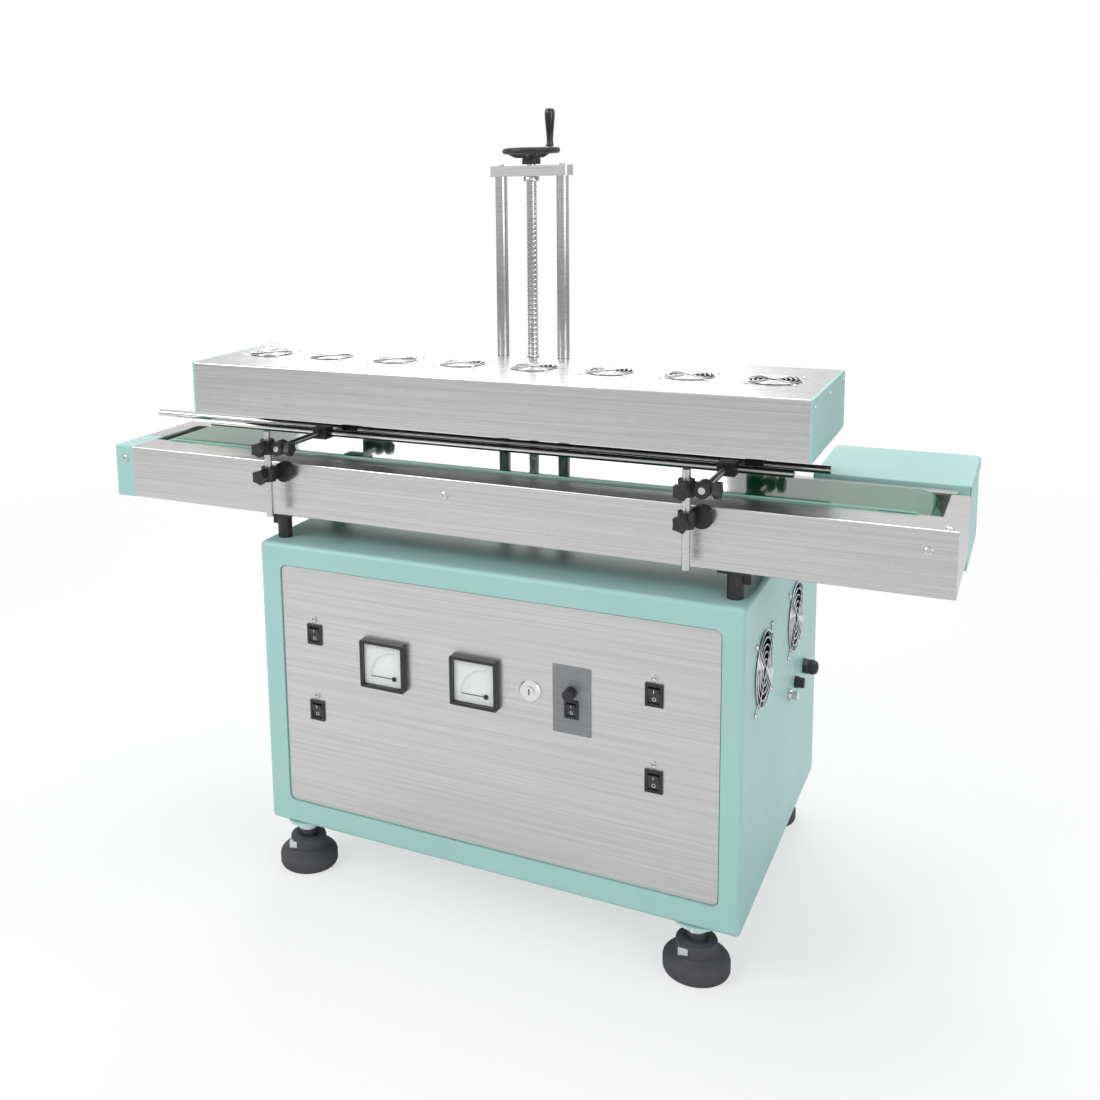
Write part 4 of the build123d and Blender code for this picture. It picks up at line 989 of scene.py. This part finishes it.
@dataclass
class Lift:
    """Columns, top plate, threaded screw, handwheel and its grip."""

    frame: Frame
    thread_pitch: float = 0.008
    thread_radius: float = 0.009
    thread_depth: float = 0.0011

    def screw(self) -> None:
        """Builds the lead screw with its thread."""
        low, high = self.frame.low("lead_screw"), self.frame.high("lead_screw")
        x, y = (low.x + high.x) / 2, (low.y + high.y) / 2
        top = self.frame.low("top_plate").z
        shape = Shape()
        r, d, p = self.thread_radius, self.thread_depth, self.thread_pitch
        start, end = low.z + 0.024, top - 0.010
        turns = int((end - start) / p)
        outline = [(r - d, 0.0), (r - d, p * 0.24), (r, p * 0.38), (r, p * 0.62), (r - d, p * 0.76)]
        before = set(shape.mesh.verts)
        points = [shape.mesh.verts.new((a, 0.0, b)) for a, b in outline]
        edges = [shape.mesh.edges.new(pair) for pair in zip(points, points[1:])]
        steps = turns * 14
        bmesh.ops.spin(shape.mesh, geom=points + edges, cent=(0, 0, 0), axis=(0, 0, 1),
                       dvec=(0, 0, turns * p / steps), angle=turns * 2 * math.pi, steps=steps)
        fresh = [v for v in shape.mesh.verts if v not in before]
        bmesh.ops.translate(shape.mesh, vec=(x, y, start), verts=fresh)
        core = r - d + 0.0002
        shape.turned([(0, 0), (0.007, 0), (0.007, 0.017), (core, 0.020),
                      (core, top - 0.0086 - low.z), (0.012, top - 0.0086 - low.z),
                      (0.013, top - 0.0078 - low.z), (0.013, top - 0.0015 - low.z),
                      (0.0125, top - 0.0006 - low.z), (0.007, top - 0.0006 - low.z),
                      (0.007, high.z - low.z), (0, high.z - low.z)], (x, y, low.z), steps=28)
        piece = shape.piece("threaded_screw", ROD_STEEL, "screw", "plain_steel", 40.0)
        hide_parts("lead_screw")

    def wheel(self) -> None:
        """Builds the handwheel with its dished spokes and the revolving grip."""
        low, high = self.frame.low("lead_screw"), self.frame.high("lead_screw")
        x, y = (low.x + high.x) / 2, (low.y + high.y) / 2
        grip_low, grip_high = self.frame.low("handwheel_grip"), self.frame.high("handwheel_grip")
        gx, gy = (grip_low.x + grip_high.x) / 2, (grip_low.y + grip_high.y) / 2
        plate = self.frame.high("top_plate").z
        reach = math.hypot(gx - x, gy - y)
        rim = plate + 0.024
        wheel = Shape()
        wheel.ring(reach, 0.0052, (x, y, rim), Way.UP, 64, 14)
        wheel.turned([(0.0072, 0.002), (0.0145, 0.002), (0.0152, 0.004), (0.0148, 0.014),
                      (0.0125, 0.0195), (0.0110, 0.0225), (0.0090, 0.0245), (0.0, 0.0252)],
                     (x, y, plate), steps=36)
        lead = math.atan2(gy - y, gx - x)
        for i in range(3):
            angle = lead + i * 2 * math.pi / 3
            c, s = math.cos(angle), math.sin(angle)
            inner = (x + 0.010 * c, y + 0.010 * s, plate + 0.0165)
            middle = (x + 0.026 * c, y + 0.026 * s, plate + 0.0165)
            outer = (x + reach * c, y + reach * s, rim)
            wheel.bar(inner, middle, 0.0046, 12, 0.0040)
            wheel.bar(middle, outer, 0.0040, 12, 0.0042)
        wheel.turned([(0, rim), (0.0062, rim), (0.0062, rim + 0.0052), (0.0055, rim + 0.006),
                      (0.0030, rim + 0.006), (0.0030, rim + 0.0505), (0, rim + 0.0505)],
                     (gx, gy, 0), steps=20)
        piece = wheel.piece("cast_handwheel", BLACK_PLASTIC, "screw", "grip_black", 50.0)
        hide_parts("handwheel")
        grip = Shape()
        h = grip_high.z - grip_low.z
        grip.turned([
            (0.0032, 0.0), (0.0062, 0.0), (0.0066, 0.0010), (0.0060, h * 0.06), (0.0053, h * 0.12),
            (0.0054, h * 0.22), (0.0062, h * 0.38), (0.0072, h * 0.55), (0.0081, h * 0.72),
            (0.0085, h * 0.83), (0.0082, h * 0.92), (0.0070, h * 0.975), (0.0045, h * 0.998), (0, h),
        ], (gx, gy, grip_low.z), steps=36)
        piece = grip.piece("turned_grip", BLACK_GLOSS, "grip", "grip_black", 60.0)
        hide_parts("handwheel_grip")

    def build(self) -> None:
        """Dresses the lift."""
        self.frame.finish(ROD_STEEL, "lift_columns")
        self.frame.finish(PLATE_STEEL, "top_plate")
        self.screw()
        self.wheel()
        low, high = self.frame.low("top_plate"), self.frame.high("top_plate")
        screws = Shape()
        for x in (low.x + 0.013, high.x - 0.013):
            screws.turned([(0, 0.0018), (0.0022, 0.0018), (0.0024, 0.0038), (0.0045, 0.0036),
                           (0.0048, 0.0030), (0.0048, 0.0)], (x, (low.y + high.y) / 2, high.z), steps=24)
        screws.piece("plate_screws", ZINC, "frame", "plain_steel")


@dataclass
class Guides:
    """Guide rails with their posts, clamps and star knobs."""

    frame: Frame

    def build(self) -> None:
        """Dresses the guides."""
        self.frame.finish(GUIDE_STEEL, "guide_posts", "front_guide_rail", "rear_guide_rail")
        self.frame.finish(BLACK_PLASTIC, "post_clamps", "front_cross_clamps", "front_rail_clamps",
                          "rear_cross_clamps", "rear_rail_clamps")


@dataclass
class Controls:
    """Switches, meters, key switch and speed controller."""

    frame: Frame

    def switches(self) -> None:
        """Prints the marks on the rockers and hangs the eyelets over the switches."""
        eyes = Shape()
        for i in range(5):
            node = "controller_rocker" if i == 4 else f"switch_rocker_{i + 1}"
            body = "controller_switch" if i == 4 else f"switch_{i + 1}"
            low, high = self.frame.low(node), self.frame.high(node)
            x, z = (low.x + high.x) / 2, (low.z + high.z) / 2
            marks = Shape()
            size = (high.z - low.z) / 24.5
            pressed = self.frame.face(node, x, z - 6.5 * size)
            raised = self.frame.face(node, x, z + 6.1 * size)
            marks.lay(marks.ring(2.6 * size, 0.45 * size, (0, 0, -0.25 * size), Way.UP, 24, 6), *pressed)
            marks.lay(marks.block((-0.45 * size, -2.5 * size, -0.6 * size),
                                  (0.45 * size, 2.5 * size, 0.2 * size)), *raised)
            marks.piece(node + "_marks", PRINT_WHITE, body, "rocker_black")
            if i < 4:
                panel = self.frame.low("front_panel").y
                eyes.ring(0.0042, 0.0011, (x, panel - 0.0011, z + 0.0255), Way.FRONT, 24, 8)
                eyes.screw((x, panel - 0.001, z + 0.0225), Way.FRONT, 0.0030, 0.0018)
        eyes.piece("switch_eyelets", ZINC, "frame", "plain_steel")

    def meters(self) -> None:
        """Prints the meters' dials and sets their glass."""
        low, high = self.frame.low("meter_housings"), self.frame.high("meter_housings")
        width = high.z - low.z
        cards, print_black, glass = Shape(), Shape(), Shape()
        for x in (low.x + width / 2, high.x - width / 2):
            z = (low.z + high.z) / 2
            back = low.y + 0.0079
            half = width / 2 - 0.0055
            cards.block((x - half, back - 0.0012, z - half), (x + half, back - 0.0002, z + half), 0.0005)
            glass.block((x - half, low.y + 0.0012, z - half), (x + half, low.y + 0.0024, z + half), 0.0003)
            px, pz = x + width / 2 - 0.020, z - width / 2 + 0.020
            for k in range(21):
                angle = math.pi / 2 + k * math.pi / 40
                inner = 0.0405 if k % 5 else 0.0375
                outer = 0.0440
                c, s = math.cos(angle), math.sin(angle)
                y = back - 0.0014
                print_black.bar((px + inner * c, y, pz + inner * s), (px + outer * c, y, pz + outer * s),
                                0.00022, 4)
        cards.piece("meter_cards", DIAL_WHITE, "frame", "meter_black")
        print_black.piece("meter_scales", PRINT_BLACK, "frame", "meter_black")
        glass.piece("meter_glass", Glass(), "frame", "meter_black")

    def build(self) -> None:
        """Dresses the controls."""
        self.frame.finish(BLACK_PLASTIC, "switch_bezels", "meter_housings", "speed_knob")
        self.frame.finish(BLACK_GLOSS, "controller_rocker", *[f"switch_rocker_{i}" for i in range(1, 5)])
        self.frame.finish(CHROME, "key_lock_body", "key_cylinder")
        self.frame.finish(CONTROL_GREY, "controller_plate")
        self.frame.finish(NEEDLE_RED, "meter_needle_1", "meter_needle_2")
        self.switches()
        self.meters()


def main() -> None:
    """Builds the scene, one sub-assembly after another."""
    logging.basicConfig(level=logging.INFO, format="%(name)s: %(message)s")
    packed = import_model()
    frame = Frame(packed)
    Studio(frame).build()
    for part in (Cabinet(frame), Conveyor(frame), Fans(frame), Head(frame), Lift(frame),
                 Guides(frame), Controls(frame)):
        part.build()
        log.info("dressed %s", type(part).__name__)


if __name__ == "__main__":
    main()
